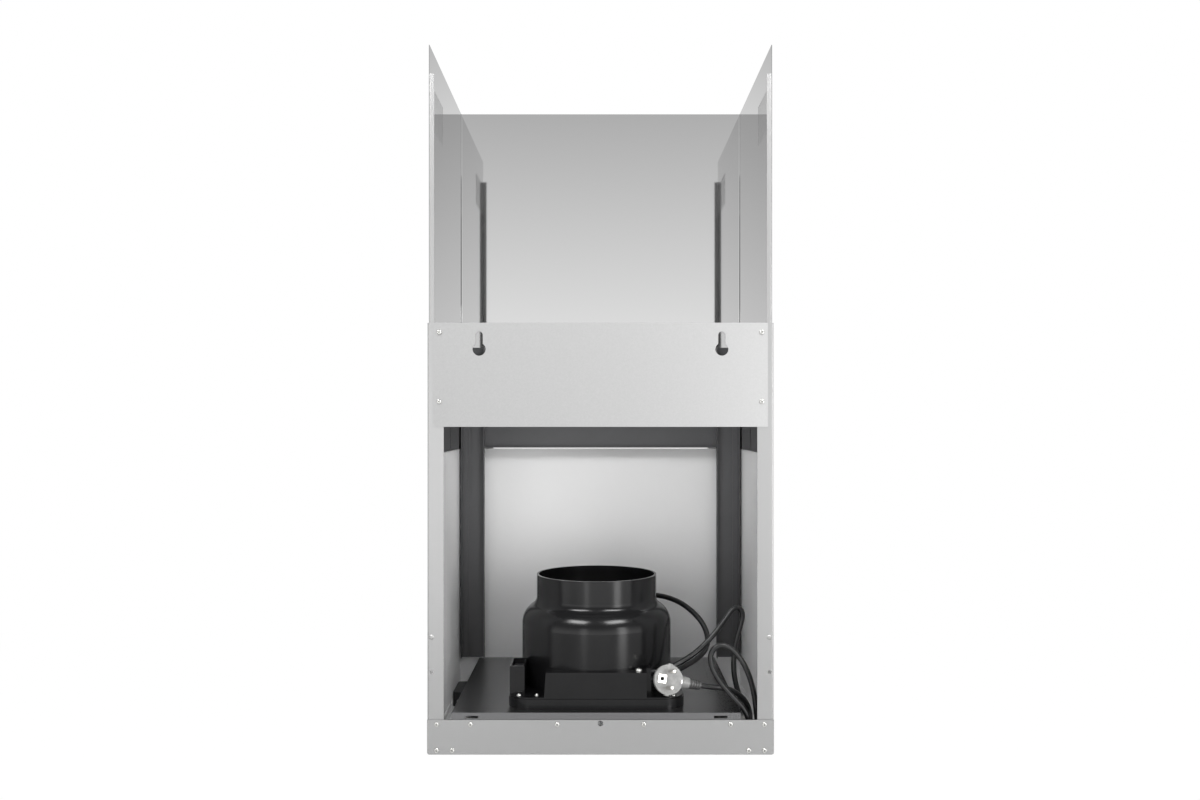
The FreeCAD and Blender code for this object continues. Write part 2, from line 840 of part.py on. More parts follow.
def curved_strip(root, tip, turn, bulge_share, thickness, height):
    """An upright curved sheet from a root radius to a tip radius, turned back by an angle."""
    start = Vector(root, 0, 0)
    end = Vector(tip * math.cos(turn), tip * math.sin(turn), 0)
    chord = end - start
    across = Vector(-chord.y, chord.x, 0).normalize()
    middle = (start + end) / 2 + across * chord.Length * bulge_share
    side = across * thickness
    edges = [
        Part.Arc(start, middle, end).toShape(),
        Part.LineSegment(end, end + side).toShape(),
        Part.Arc(end + side, middle + side, start + side).toShape(),
        Part.LineSegment(start + side, start).toShape(),
    ]
    return Part.Face(Part.Wire(edges)).extrude(UP * height)


def ring_of(shape, count, centre):
    """Copies of a shape, evenly spaced round an upright axis."""
    copies = []
    for index in range(count):
        copy = shape.copy()
        copy.rotate(centre, UP, 360 * index / count)
        copies.append(copy)
    return copies


def make_blade():
    """One backward-curved blade, cut to the passage between shroud and hub."""
    root = blade_root_radius - blade_thickness
    blade = curved_strip(root, wheel_radius, -math.radians(blade_lean), blade_bulge_share,
                         blade_thickness, wheel_outlet_rise)
    blade.translate(on_blower(0, 0, wheel_height))
    return blade.common(wheel_passage(wheel_sheet / 2))


def make_impeller():
    """The mixed-flow wheel: hub cone, shroud ring and its curved blades."""
    axis = on_blower(0, 0, wheel_height)
    shroud = turned((
        (eye_radius, wheel_eye_rise - wheel_sheet), (eye_radius, wheel_eye_rise),
        (wheel_radius, wheel_shroud_rise),
        (wheel_radius + wheel_sheet, wheel_shroud_rise - wheel_sheet),
    ), axis)
    hub = turned((
        (shaft_radius, boss_low), (boss_radius, boss_low), (boss_radius, wheel_root_rise - boss_low),
        (blade_root_radius, wheel_root_rise), (wheel_outlet_radius, wheel_outlet_rise),
        (wheel_outlet_radius, wheel_outlet_rise + wheel_sheet),
        (blade_root_radius, wheel_root_rise + wheel_sheet),
        (boss_radius, wheel_root_rise - boss_low + wheel_sheet),
        (boss_radius, wheel_outlet_rise), (shaft_radius, wheel_outlet_rise),
    ), axis)
    return fused([hub, shroud] + ring_of(make_blade(), blade_count, axis))


def make_motor_shaft():
    """The shaft that the impeller is pressed on."""
    bottom = wheel_height + boss_low - overrun
    top = motor_bottom + motor_height - motor_chamfer
    return rod(shaft_radius, top - bottom, on_blower(0, 0, bottom))


def make_motor_case():
    """The closed motor case, with a bore for its shaft."""
    bore = shaft_radius + running_gap
    top = motor_height
    return turned((
        (bore, -motor_nose_height), (motor_nose_radius, -motor_nose_height),
        (motor_nose_radius, 0), (motor_radius, 0), (motor_radius, top - motor_chamfer),
        (motor_radius - motor_chamfer, top), (0, top), (0, top - motor_chamfer + fit_gap),
        (bore, top - motor_chamfer + fit_gap),
    ), on_blower(0, 0, motor_bottom))


def make_motor_carrier():
    """The cup that holds the motor, with curved guide vanes out to a ring in the housing."""
    inner = motor_radius + fit_gap
    outer = inner + carrier_wall
    ring = housing_radius - housing_wall - fit_gap
    place = on_blower(0, 0, motor_bottom)
    cup = turned((
        (motor_nose_radius + fit_gap, -carrier_wall), (outer, -carrier_wall),
        (outer, carrier_cup_height), (inner, carrier_cup_height), (inner, 0),
        (motor_nose_radius + fit_gap, 0),
    ), place)
    hoop = turned((
        (ring - carrier_wall, 0), (ring, 0), (ring, carrier_ring_height),
        (ring - carrier_wall, carrier_ring_height),
    ), place)
    vane = curved_strip(outer - carrier_wall / 2, ring - carrier_wall / 2,
                        math.radians(carrier_vane_turn), carrier_bulge_share,
                        carrier_vane_sheet, carrier_ring_height)
    vane.translate(place)
    return fused([cup, hoop] + ring_of(vane, carrier_vanes, place))


def make_flap_spindle():
    """The fixed spindle across the outlet collar."""
    half = neck_radius - housing_wall
    return rod(spindle_radius, 2 * half, on_blower(-half, 0, flap_height), RIGHT)


def make_flap(side):
    """A half-round flap with two sleeves on the spindle; side is -1 or 1."""
    bottom = on_blower(0, 0, flap_height - flap_sheet / 2)
    disc = rod(flap_radius, flap_sheet, bottom)
    reach = flap_radius + overrun
    edge = side * flap_edge
    keep_low, keep_high = sorted((edge, side * reach))
    disc = disc.common(box(bottom + Vector(-reach, keep_low, -overrun),
                           bottom + Vector(reach, keep_high, flap_sheet + overrun)))
    parts = [disc]
    web_low, web_high = sorted((0, edge + side * flap_sheet))
    for place in flap_sleeve_places:
        x = side * place - flap_sleeve_length / 2
        parts.append(rod(flap_sleeve_radius, flap_sleeve_length, on_blower(x, 0, flap_height),
                         RIGHT))
        parts.append(box(bottom + Vector(x, web_low, 0),
                         bottom + Vector(x + flap_sleeve_length, web_high, flap_sheet)))
    bore = rod(spindle_radius + running_gap, 2 * reach, on_blower(-reach, 0, flap_height), RIGHT)
    return fused(parts).cut(bore)


def make_terminal_box():
    """The open-topped box at the side of the drum, which holds the run capacitor."""
    low = on_blower(terminal_x, base_length / 2 - terminal_near - terminal_length, foot_top)
    size = Vector(terminal_width, terminal_length, terminal_height)
    wall = Vector(terminal_wall, terminal_wall, terminal_wall)
    hollow = box(low + wall, low + size - Vector(terminal_wall, terminal_wall, -overrun))
    drum = rod(housing_radius + fit_gap, terminal_height + 2 * overrun,
               on_blower(0, 0, foot_top - overrun))
    return box(low, low + size).cut([hollow, drum])


def make_capacitor():
    """The run capacitor, standing in the terminal box."""
    centre_x = terminal_x + terminal_width / 2
    centre_y = base_length / 2 - terminal_near - terminal_length / 2
    low = on_blower(centre_x - capacitor_width / 2, centre_y - capacitor_length / 2,
                    foot_top + terminal_wall)
    size = Vector(capacitor_width, capacitor_length, capacitor_height)
    return box(low, low + size)


def cover_prism(inset, extra):
    """The slanted outline of the wiring cover, drawn in by an inset, longer by an extra."""
    low_x = cover_low_x + inset
    high_x = cover_high_x - inset
    bottom = foot_top - extra
    top = foot_top + cover_height - inset
    near = base_length / 2 - cover_near - inset
    corners = [
        on_blower(low_x, near, bottom), on_blower(high_x, near, bottom),
        on_blower(high_x - cover_slant, near, top), on_blower(low_x, near, top),
    ]
    return slab(corners, cover_length + extra, TO_ROOM)


def make_wiring_cover():
    """The cover between the base's near edge and the drum, open towards the drum."""
    drum = rod(housing_radius + fit_gap, cover_height + 2 * overrun,
               on_blower(0, 0, foot_top - overrun))
    shell = cover_prism(0, 0).cut(drum)
    shell = shell.cut(cover_prism(cover_wall, overrun))
    screws = [screw_hole(point, UP) for point in housing_screw_points()]
    return shell.cut(screws + [screw_hole(clamp_screw_point(), UP)])


def clamp_screw_point():
    """The screw on top of the wiring cover, beside the cable clamp."""
    return on_blower(clamp_screw_x, base_length / 2 - clamp_screw_near, foot_top + cover_height)


def make_cable_clamp():
    """The block that grips both cords where they leave the wiring cover."""
    right = cover_low_x - fit_gap
    near = base_length / 2 - clamp_near
    low = on_blower(right - clamp_width, near - clamp_length, foot_top)
    high = on_blower(right, near, foot_top + clamp_height)
    drum = rod(housing_radius + fit_gap, clamp_height + 2 * overrun,
               on_blower(0, 0, foot_top - overrun))
    return box(low, high).cut(drum)


def tray_block(inset, low, high):
    """The tray's outline, drawn in by an inset, between two heights."""
    half = tray_half - inset
    corners = [Vector(-half, inset - tray_front, low), Vector(half, inset - tray_front, low),
               Vector(half, -tray_rear - inset, low), Vector(-half, -tray_rear - inset, low)]
    return slab(corners, high - low, UP, [bend + sheet - inset] * 4)


def make_bottom_tray():
    """The underside: a shallow tray with the lipped filter opening and two lamp holes."""
    floor = back_sheet
    outer = tray_block(0, floor, floor + tray_flange)
    hollow = tray_block(sheet, floor + sheet, floor + tray_flange + overrun)
    lip = box(Vector(-opening_half - sheet, -opening_front - sheet, floor),
              Vector(opening_half + sheet, sheet - opening_rear, floor + sheet + opening_lip))
    opening = box(Vector(-opening_half, -opening_front, floor - overrun),
                  Vector(opening_half, -opening_rear, floor + tray_flange + overrun))
    cuts = [opening]
    for side in (-1, 1):
        low = Vector(side * lamp_x, -lamp_depth, floor - overrun)
        cuts.append(rod(lamp_hole_radius, sheet + 2 * overrun, low))
    pins = rod(filter_pin_radius + running_gap, 2 * half_width,
               Vector(-half_width, -pivot_depth, pivot_height), RIGHT)
    clear = opening_half + sheet + overrun
    middle = box(Vector(-clear, -pivot_depth - overrun - filter_pin_radius, floor),
                 Vector(clear, overrun + filter_pin_radius - pivot_depth, floor + tray_flange))
    cuts.append(pins.common(middle))
    bolt_half = latch_bolt_width / 2 + slide_gap
    bolt_low = filter_floor + latch_rise - slide_gap
    cuts.append(box(
        Vector(-bolt_half, -opening_front - sheet - overrun, bolt_low),
        Vector(bolt_half, overrun - opening_front, bolt_low + latch_bolt_height + 2 * slide_gap),
    ))
    cuts += [screw_hole(point, TO_WALL) for point in panel_screw_points()]
    return outer.cut(hollow).fuse(lip).cut(cuts)


def filter_box(inset, low, high):
    """The filter's outline, drawn in by an inset, between two heights."""
    half = filter_width / 2 - inset
    return box(Vector(-half, inset - filter_rear - filter_length, low),
               Vector(half, -filter_rear - inset, high))


def latch_rear():
    """The depth of the drawn-back latch's rear edge, in the middle of its pad."""
    middle = filter_rear + filter_length - latch_pad_length / 2
    return middle - (latch_length + latch_travel) / 2


def make_filter_frame():
    """The filter's frame, grooved for the mesh, with the latch pad in its front bar."""
    bottom = filter_floor
    top = bottom + filter_height
    frame = filter_box(0, bottom, top).cut(filter_box(filter_bar, bottom - overrun, top + overrun))
    front = -filter_rear - filter_length
    pad = box(Vector(-latch_pad_width / 2, front, bottom),
              Vector(latch_pad_width / 2, front + latch_pad_length, top))
    mesh_low = pivot_height - mesh_sheet / 2
    groove = filter_box(filter_bar - mesh_overlap, mesh_low, mesh_low + mesh_sheet)
    pocket_rear = latch_rear() - slide_gap
    pocket_front = latch_rear() + latch_length + latch_travel + slide_gap
    pocket_half = latch_width / 2 + slide_gap
    window_half = latch_finger_width / 2 + slide_gap
    shelf = bottom + latch_rise - slide_gap
    pocket = box(Vector(-pocket_half, -pocket_front, shelf),
                 Vector(pocket_half, -pocket_rear, top - latch_pocket_roof))
    window = box(Vector(-window_half, -pocket_front, bottom - overrun),
                 Vector(window_half, -pocket_rear, shelf))
    bolt_half = latch_bolt_width / 2 + slide_gap
    slot = box(Vector(-bolt_half, front - overrun, shelf),
               Vector(bolt_half, -pocket_rear, shelf + latch_bolt_height + 2 * slide_gap))
    pins = rod(filter_pin_radius, filter_width + 2 * overrun,
               Vector(-filter_width / 2 - overrun, -pivot_depth, pivot_height), RIGHT)
    return frame.fuse(pad).cut([groove.cut(pad), pocket, window, slot, pins])


def make_filter_pins():
    """The two pivot pins at the rear corners of the filter."""
    length = filter_bar + filter_pin_reach
    start = Vector(filter_width / 2 - filter_bar, -pivot_depth, pivot_height)
    pin = rod(filter_pin_radius, length, start, RIGHT)
    return Part.Compound([pin, mirrored(pin)])


def make_filter_mesh():
    """The expanded mesh: rows of lozenge openings, every second row staggered."""
    low = pivot_height - mesh_sheet / 2
    inset = filter_bar - mesh_overlap
    half = filter_width / 2 - inset
    front = -filter_rear - filter_length
    field_half = filter_width / 2 - filter_bar
    pitch_x = 2 * field_half / mesh_columns
    field_length = filter_length - filter_bar - latch_pad_length
    pitch_y = field_length / mesh_rows
    reach_x = pitch_x * mesh_open_share / 2
    reach_y = pitch_y * mesh_open_share / 2
    start_y = -filter_rear - filter_bar
    lozenges = []
    for row in range(mesh_rows):
        shift = pitch_x / 2 if row % 2 else 0
        columns = mesh_columns - row % 2
        for column in range(columns):
            x = -field_half + shift + pitch_x * (column + 1 / 2)
            y = start_y - pitch_y * (row + 1 / 2)
            corners = [Vector(x + reach_x, y, low), Vector(x, y + reach_y, low),
                       Vector(x - reach_x, y, low), Vector(x, y - reach_y, low)]
            lozenges.append(Part.makePolygon(corners + corners[:1]))
    notch_half = latch_pad_width / 2
    notch_end = front + latch_pad_length
    sides = [(-half, front + inset), (-notch_half, front + inset), (-notch_half, notch_end),
             (notch_half, notch_end), (notch_half, front + inset), (half, front + inset),
             (half, -filter_rear - inset), (-half, -filter_rear - inset)]
    corners = [Vector(x, y, low) for x, y in sides]
    edge = Part.makePolygon(corners + corners[:1])
    return Part.Face([edge] + lozenges).extrude(UP * mesh_sheet)


def make_filter_latch():
    """The sliding latch, drawn back: a finger block under a flat slide with its bolt."""
    rear = latch_rear()
    front = rear + latch_length
    low = filter_floor + latch_rise
    high = low + latch_bolt_height
    finger_half = latch_finger_width / 2
    slide = box(Vector(-latch_width / 2, -front, low), Vector(latch_width / 2, -rear, high))
    finger = box(Vector(-finger_half, -front, filter_floor + slide_gap),
                 Vector(finger_half, -rear, low))
    dish_half = finger_half - latch_grip
    dish = box(Vector(-dish_half, latch_grip - front, filter_floor - overrun),
               Vector(dish_half, -rear - latch_grip, low))
    bolt_end = filter_rear + filter_length - slide_gap
    bolt = box(Vector(-latch_bolt_width / 2, -bolt_end, low),
               Vector(latch_bolt_width / 2, -rear, high))
    return fused([slide, finger.cut(dish), bolt])


def make_lamp(side):
    """One lamp: trim ring, lens and finned body."""
    floor = back_sheet
    place = Vector(side * lamp_x, -lamp_depth, floor)
    collar = lamp_hole_radius - fit_gap
    ring = turned((
        (lamp_lens_radius, -lamp_ring_sheet / 2),
        (lamp_ring_radius - lamp_ring_sheet, -lamp_ring_sheet), (lamp_ring_radius, 0),
        (collar, 0), (collar, lamp_ring_height), (lamp_lens_radius, lamp_ring_height),
    ), place)
    lens = rod(lamp_lens_radius - fit_gap, lamp_lens_sheet, place)
    core = rod(lamp_fin_radius, lamp_body_height, place + UP * lamp_ring_height)
    fins = []
    pitch = (lamp_body_height - lamp_fin_sheet) / (lamp_fins - 1)
    for index in range(lamp_fins):
        height = lamp_ring_height + index * pitch
        fins.append(rod(lamp_body_radius, lamp_fin_sheet, place + UP * height))
    return ring, lens, fused([core] + fins)


def make_lamp_driver():
    """The lamps' power supply on the tray's far side."""
    high_x = tray_half - sheet - fit_gap
    low = Vector(high_x - driver_width, driver_front - body_depth, back_sheet + sheet)
    corners = [low, low + RIGHT * driver_width,
               low + Vector(driver_width, driver_length, 0), low + TO_WALL * driver_length]
    return slab(corners, driver_height, UP, [driver_corner] * 4)


def button_places():
    """The middle of each push button on the front face."""
    first = -button_pitch * (button_count - 1) / 2
    return [Vector(first + index * button_pitch, -body_depth, control_height)
            for index in range(button_count)]


def make_bezel():
    """The strip round the buttons, with a neck that fits the hole in the front."""
    half = bezel_width / 2
    low = control_height - bezel_height / 2
    corners = [Vector(-half, -body_depth, low), Vector(half, -body_depth, low),
               Vector(half, -body_depth, low + bezel_height),
               Vector(-half, -body_depth, low + bezel_height)]
    strip = slab(corners, bezel_sheet, TO_ROOM, [panel_corner] * 4)
    neck = box(
        Vector(-bezel_neck_width / 2, -body_depth, control_height - bezel_neck_height / 2),
        Vector(bezel_neck_width / 2, sheet - body_depth, control_height + bezel_neck_height / 2),
    )
    holes = [rod(button_radius + fit_gap, bezel_sheet + sheet + 2 * overrun,
                 place + TO_ROOM * (bezel_sheet + overrun), TO_WALL)
             for place in button_places()]
    return fused([strip, neck]).cut(holes)


def make_switch_block():
    """The switch block behind the bezel, bored for the buttons' stems."""
    back = body_depth - sheet
    low = Vector(-switch_width / 2, -back, control_height - switch_height / 2)
    block = box(low, low + Vector(switch_width, switch_length, switch_height))
    reach = button_tail + button_travel + fit_gap
    holes = [rod(button_radius + fit_gap, reach, place, TO_WALL) for place in button_places()]
    return block.cut(holes)


def make_button(place):
    """One push button with its domed cap."""
    length = button_reach + button_tail
    return turned((
        (0, 0), (button_radius, 0), (button_radius, length - button_dome),
        (button_radius - button_dome, length), (0, length),
    ), place + TO_WALL * button_tail, TO_ROOM)


def plug_placement():
    """Where the plug lies, and which way its pins and cord point."""
    pins = Vector(*plug_pins_point).normalize()
    line = Vector(*plug_pin_line)
    line = (line - pins * line.dot(pins)).normalize()
    exit_way = line.cross(pins)
    return Placement(Vector(*plug_place), Rotation(exit_way, line, pins, "ZXY"))


def placed_plug(shape):
    """A piece of the plug, moved from the plug's own frame to where it lies."""
    shape.Placement = plug_placement().multiply(shape.Placement)
    return shape


def make_plug_body():
    """The moulded side-entry plug: round face, drawn-in back and the neck of the cord."""
    disc = turned((
        (0, -plug_length), (plug_back_radius, -plug_length), (plug_waist_radius, -plug_waist),
        (plug_radius, -plug_rim), (plug_radius, 0), (0, 0),
    ), Vector())
    neck = Part.makeCone(plug_root_radius, plug_exit_radius, plug_exit, Vector(0, 0, 0), RIGHT)
    neck.translate(DOWN * plug_axis_depth)
    ear = box(Vector(-plug_ear / 2, -plug_radius - plug_ear_reach, -plug_rim),
              Vector(plug_ear / 2, plug_radius + plug_ear_reach, 0))
    cuts = [rod(earth_hole_radius, plug_waist, Vector(-earth_place, 0, -plug_waist))]
    for side in (-1, 1):
        cuts.append(rod(pin_radius, plug_rim, Vector(0, side * pin_pitch / 2, -plug_rim)))
    cuts.append(clip_block(0))
    return placed_plug(fused([disc, neck, ear]).cut(cuts))


def make_plug_earth_plate():
    """The square contact plate round the hole for a socket's earth pin."""
    plate = box(Vector(-earth_place - earth_pad / 2, -earth_pad / 2, 0),
                Vector(earth_pad / 2 - earth_place, earth_pad / 2, earth_pad_height))
    hole = rod(earth_hole_radius, 2 * earth_pad_height, Vector(-earth_place, 0, 0))
    return placed_plug(plate.cut(hole))


def clip_block(proud):
    """The seat of the earth clip on the cord side of the face, and by how much it stands out."""
    return box(Vector(plug_radius - 2 * earth_clip_sheet, -earth_clip_width / 2,
                      -earth_clip_length),
               Vector(plug_radius - earth_clip_sheet, earth_clip_width / 2, proud))


def make_plug_pins():
    """The two round pins."""
    pins = []
    for side in (-1, 1):
        profile = (
            (0, -plug_rim), (pin_radius, -plug_rim), (pin_radius, pin_length - pin_tip),
            (pin_radius - pin_tip, pin_length), (0, pin_length),
        )
        pins.append(turned(profile, Vector(0, side * pin_pitch / 2, 0)))
    return placed_plug(Part.Compound(pins))


def make_plug_earth_clip():
    """The sprung earth contact at the edge of the face."""
    return placed_plug(clip_block(earth_clip_sheet))


def make_cord_relief():
    """The ribbed strain relief between plug and cord."""
    pitch = relief_length / relief_ribs
    profile = [(0, 0)]
    for index in range(relief_ribs):
        start = index * pitch
        fall = (relief_root_radius - relief_tip_radius) / relief_ribs
        radius = relief_root_radius - index * fall
        profile += [(radius, start), (radius, start + pitch / 2),
                    (radius - relief_groove, start + pitch / 2),
                    (radius - relief_groove, start + pitch)]
    profile.append((0, relief_length))
    relief = turned(profile, Vector(plug_exit, 0, -plug_axis_depth), RIGHT)
    return placed_plug(relief)


def power_route():
    """The power cord's points; those beyond the plug keep their distance from the body's side."""
    route = []
    for x, y, height in power_cord_points:
        lean = (-x - route_lean_start) / (route_lean_end - route_lean_start)
        lean = min(max(lean, 0), 1)
        route.append(Vector(x + (route_side - half_width) * lean, y, height))
    return route


def lead_route():
    """The lead's points; those by the collar move with the blower, the last stay at the clamp."""
    moved = blower_depth - route_blower_depth
    last = len(motor_lead_points) - 1
    route = []
    for index, (x, y, height) in enumerate(motor_lead_points):
        share = min((last - index) / (last - lead_end_points), 1)
        route.append(Vector(x, y - moved * share, height))
    return route


def make_cord(name, route, radius):
    """A cord as one tube: straight runs joined by tangent arcs, as large as the runs allow."""
    radii = [0]
    for before, here, after in zip(route, route[1:], route[2:]):
        half_turn = (after - here).getAngle(here - before) / 2
        shorter = min((here - before).Length, (after - here).Length)
        radii.append(arc_share * shorter / math.tan(half_turn))
    radii.append(0)
    path = Part.Wire(path_edges(route, radii, closed=False))
    section = Part.Wire(Part.makeCircle(radius, route[0], route[1] - route[0]))
    tube = path.makePipeShell([section], True, False)
    share = tube.Volume / (math.pi * radius ** 2 * path.Length)
    tightest = sorted(radii[1:-1])[:6]
    print(name, "length", round(path.Length), "volume share", round(share, 4),
          "least radii", [round(value, 1) for value in tightest])
    return tube


def build():
    """Every piece by its name."""
    parts = {
        "body_shell": make_body_shell(),
        "wall_plate": make_wall_plate(),
        "rear_bottom_panel": make_rear_bottom_panel(),
        "chimney_cover": make_chimney_cover(),
        "stop_clips": Part.Compound([make_stop_clip(), mirrored(make_stop_clip())]),
        "flange_rivets": make_rivets(),
        "guide_frame": make_guide_frame(),
        "plate_screws": Part.Compound([pan_screw(point, TO_WALL)
                                       for point in plate_screw_points()]),
        "panel_screws": Part.Compound([pan_screw(point, TO_WALL)
                                       for point in panel_screw_points()]),
        "motor_deck": make_motor_deck(),
        "blower_base": make_blower_base(),
        "blower_housing": make_blower_housing(),
        "base_screws": Part.Compound([pan_screw(point, UP) for point in base_screw_points()]),
        "housing_screws": Part.Compound([pan_screw(point, UP)
                                         for point in housing_screw_points()]),
        "inlet_grille": make_inlet_grille(),
        "impeller": make_impeller(),
        "motor_shaft": make_motor_shaft(),
        "motor_case": make_motor_case(),
        "motor_carrier": make_motor_carrier(),
        "flap_spindle": make_flap_spindle(),
        "flap_rear": make_flap(1),
        "flap_front": make_flap(-1),
        "terminal_box": make_terminal_box(),
        "capacitor": make_capacitor(),
        "wiring_cover": make_wiring_cover(),
        "cable_clamp": make_cable_clamp(),
        "clamp_screw": pan_screw(clamp_screw_point(), UP, big_head_radius, big_head_height),
        "lead_grommet": grommet_rod(grommet_radius),
        "motor_lead": make_cord("motor_lead", lead_route(), lead_radius),
        "power_cord": make_cord("power_cord", power_route(), cord_radius),
        "plug_body": make_plug_body(),
        "plug_pins": make_plug_pins(),
        "plug_earth_plate": make_plug_earth_plate(),
        "plug_earth_clip": make_plug_earth_clip(),
        "cord_relief": make_cord_relief(),
        "bottom_tray": make_bottom_tray(),
        "filter_frame": make_filter_frame(),
        "filter_pins": make_filter_pins(),
        "filter_mesh": make_filter_mesh(),
        "filter_latch": make_filter_latch(),
        "lamp_driver": make_lamp_driver(),
        "button_bezel": make_bezel(),
        "switch_block": make_switch_block(),
    }
    for name, side in (("left", -1), ("right", 1)):
        ring, lens, lamp_body = make_lamp(side)
        parts["lamp_ring_" + name] = ring
        parts["lamp_lens_" + name] = lens
        parts["lamp_body_" + name] = lamp_body
    for index, place in enumerate(button_places()):
        parts["button_" + str(index + 1)] = make_button(place)
    return parts


os.makedirs("parts", exist_ok=True)
for node, shape in build().items():
    shape.translate(DOWN * keyhole_height)
    shape.exportStep("parts/" + node + ".step")
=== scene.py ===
import math

import bmesh
import bpy
from mathutils import Matrix, Vector


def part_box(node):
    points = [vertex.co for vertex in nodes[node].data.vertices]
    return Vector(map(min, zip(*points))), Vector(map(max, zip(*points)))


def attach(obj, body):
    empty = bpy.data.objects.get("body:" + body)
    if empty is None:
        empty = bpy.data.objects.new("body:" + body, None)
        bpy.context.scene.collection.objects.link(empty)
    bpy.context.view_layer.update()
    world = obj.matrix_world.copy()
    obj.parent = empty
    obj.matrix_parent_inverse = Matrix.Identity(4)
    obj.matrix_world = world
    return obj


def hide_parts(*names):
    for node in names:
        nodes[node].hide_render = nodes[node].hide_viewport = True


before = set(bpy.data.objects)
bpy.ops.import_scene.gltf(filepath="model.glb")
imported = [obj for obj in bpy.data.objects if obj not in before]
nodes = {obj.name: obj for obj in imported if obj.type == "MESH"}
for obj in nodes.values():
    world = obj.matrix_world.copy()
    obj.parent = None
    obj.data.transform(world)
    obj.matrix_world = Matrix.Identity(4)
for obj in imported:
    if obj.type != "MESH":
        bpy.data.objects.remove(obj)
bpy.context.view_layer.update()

# A wall-hung range hood, seen from its wall side. Everything is in metres, in the frame of the
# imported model: the wall is the plane Y = 0, the room side is negative Y, and the origin lies
# midway between the two keyholes of the wall plate.

MM = 0.001

# The camera stands behind the hood. Its place and lens fit the perspective of the chimney in
# the photograph; the opening under the wall plate has a lower horizon there.
CAMERA_PLACE = (0.0, 1279 * MM, -80.5 * MM)
CAMERA_LENS = 33.285
CAMERA_SENSOR = 36.0
PHOTO_WIDTH = 1200
CAMERA_SHIFT = (-0.5 / PHOTO_WIDTH, 19 / PHOTO_WIDTH)

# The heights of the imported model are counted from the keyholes, this far above the body's
# lower edge. The routes of the cords and the seats of the screws are counted from that edge.
KEYHOLE_HEIGHT = 467.5

# The control points of the two cords, the same as in the construction.
POWER_CORD_POINTS = (
    (-60.0, -45.0, 85.2), (-68.5, -45.0, 85.2), (-84.0, -52.0, 89.0), (-103.0, -58.0, 97.3),
    (-122.0, -65.0, 109.5), (-139.0, -70.5, 126.0), (-151.5, -74.5, 141.5), (-160.5, -77.5, 153.0),
    (-166.5, -79.0, 156.8), (-171.7, -80.5, 154.2), (-174.4, -81.5, 148.0), (-172.8, -82.0, 137.0),
    (-167.0, -81.0, 119.0), (-163.0, -79.0, 98.0), (-163.0, -77.5, 72.0), (-170.0, -77.0, 47.0),
    (-181.5, -76.0, 25.0), (-184.5, -61.5, 10.0), (-185.5, -40.0, 9.5), (-185.0, -25.0, 24.0),
    (-183.0, -24.0, 44.0), (-180.5, -23.0, 64.0), (-175.0, -21.5, 85.0), (-166.5, -20.5, 103.5),
    (-153.5, -20.0, 119.0), (-139.0, -20.0, 123.5), (-128.5, -19.5, 114.0), (-129.0, -19.0, 98.0),
    (-139.0, -17.5, 80.0), (-154.5, -16.0, 62.5), (-168.5, -15.0, 48.5), (-174.0, -15.0, 32.0),
    (-175.5, -27.5, 19.7), (-178.0, -45.0, 19.5), (-180.5, -58.5, 31.5), (-176.0, -56.5, 46.0),
    (-165.5, -51.5, 57.5), (-151.0, -46.5, 65.5), (-131.4, -41.93, 67.78),
    (-118.91, -39.26, 70.44),
)
MOTOR_LEAD_POINTS = (
    (-51.24, -184.03, 154.0), (-55.42, -189.01, 154.0), (-66.0, -195.0, 153.6),
    (-79.0, -194.0, 152.6), (-92.0, -183.0, 151.0), (-105.5, -169.0, 147.0),
    (-119.5, -154.5, 138.0), (-131.5, -140.0, 125.5), (-136.5, -124.0, 110.0),
    (-131.5, -108.0, 97.5), (-118.0, -92.0, 89.5), (-100.5, -76.0, 84.0), (-86.5, -59.0, 80.5),
    (-73.5, -44.5, 76.5), (-60.0, -44.5, 76.5),
)
POWER_CORD_RADIUS = 3.2 * MM
MOTOR_LEAD_RADIUS = 3.4 * MM

# Where the screws stand, in millimetres; heights are counted from the body's lower edge.
PLATE_SCREWS = [(x, 0, z) for x in (-186, 186) for z in (487, 407)]
PANEL_SCREWS = [(side * x, 0, 35) for x in (50, 150, 189) for side in (-1, 1)]
PANEL_SCREWS += [(side * x, 0, 5) for x in (171, 189) for side in (-1, 1)]
FOOT_HEIGHT = 61.3
BASE_SCREWS = [(x, y, FOOT_HEIGHT) for x in (-86, 96) for y in (-205, -29)]
HOUSING_SCREWS = [(-65, -205, FOOT_HEIGHT), (75, -205, FOOT_HEIGHT), (75, -29, FOOT_HEIGHT)]
CLAMP_SCREW = [(-45, -29.5, 90.3)]

SCREW_PROFILE = ((0.0, 1.9), (1.4, 1.9), (2.2, 1.7), (2.7, 1.2), (2.9, 0.6), (2.9, 0.0))
BIG_SCREW_PROFILE = ((0.0, 2.6), (2.4, 2.6), (3.4, 2.35), (4.0, 1.7), (4.2, 0.9), (4.2, 0.0))
SHANK_RADIUS = 1.75
SHANK_LENGTH = 7.0
SCREW_SIDES = 32
SCREW_TURN = 37

# The cross recess, as shares of the head's radius or height; it narrows towards its bottom.
RECESS_ARM_SHARE = 0.56
RECESS_WIDTH_SHARE = 0.44
RECESS_DEPTH_SHARE = 0.95
RECESS_FOOT_SHARE = 0.2

# Expanded mesh of the grease filter, in millimetres; a strand fills most of its layer's height.
MESH_PITCH = 9.0
MESH_ROW = 4.6
MESH_STRAND = 1.4
MESH_LAYERS = 3
MESH_PAD_HALF = 31.0
MESH_PAD_REAR = -238.2
MESH_LIFT_SHARE = 0.42

# Folded sheet: what tells its outer side, in metres and as parts of a unit normal.
SIDE_REACH = 0.05
REAR_PLANE = -0.004
FACING = -0.5

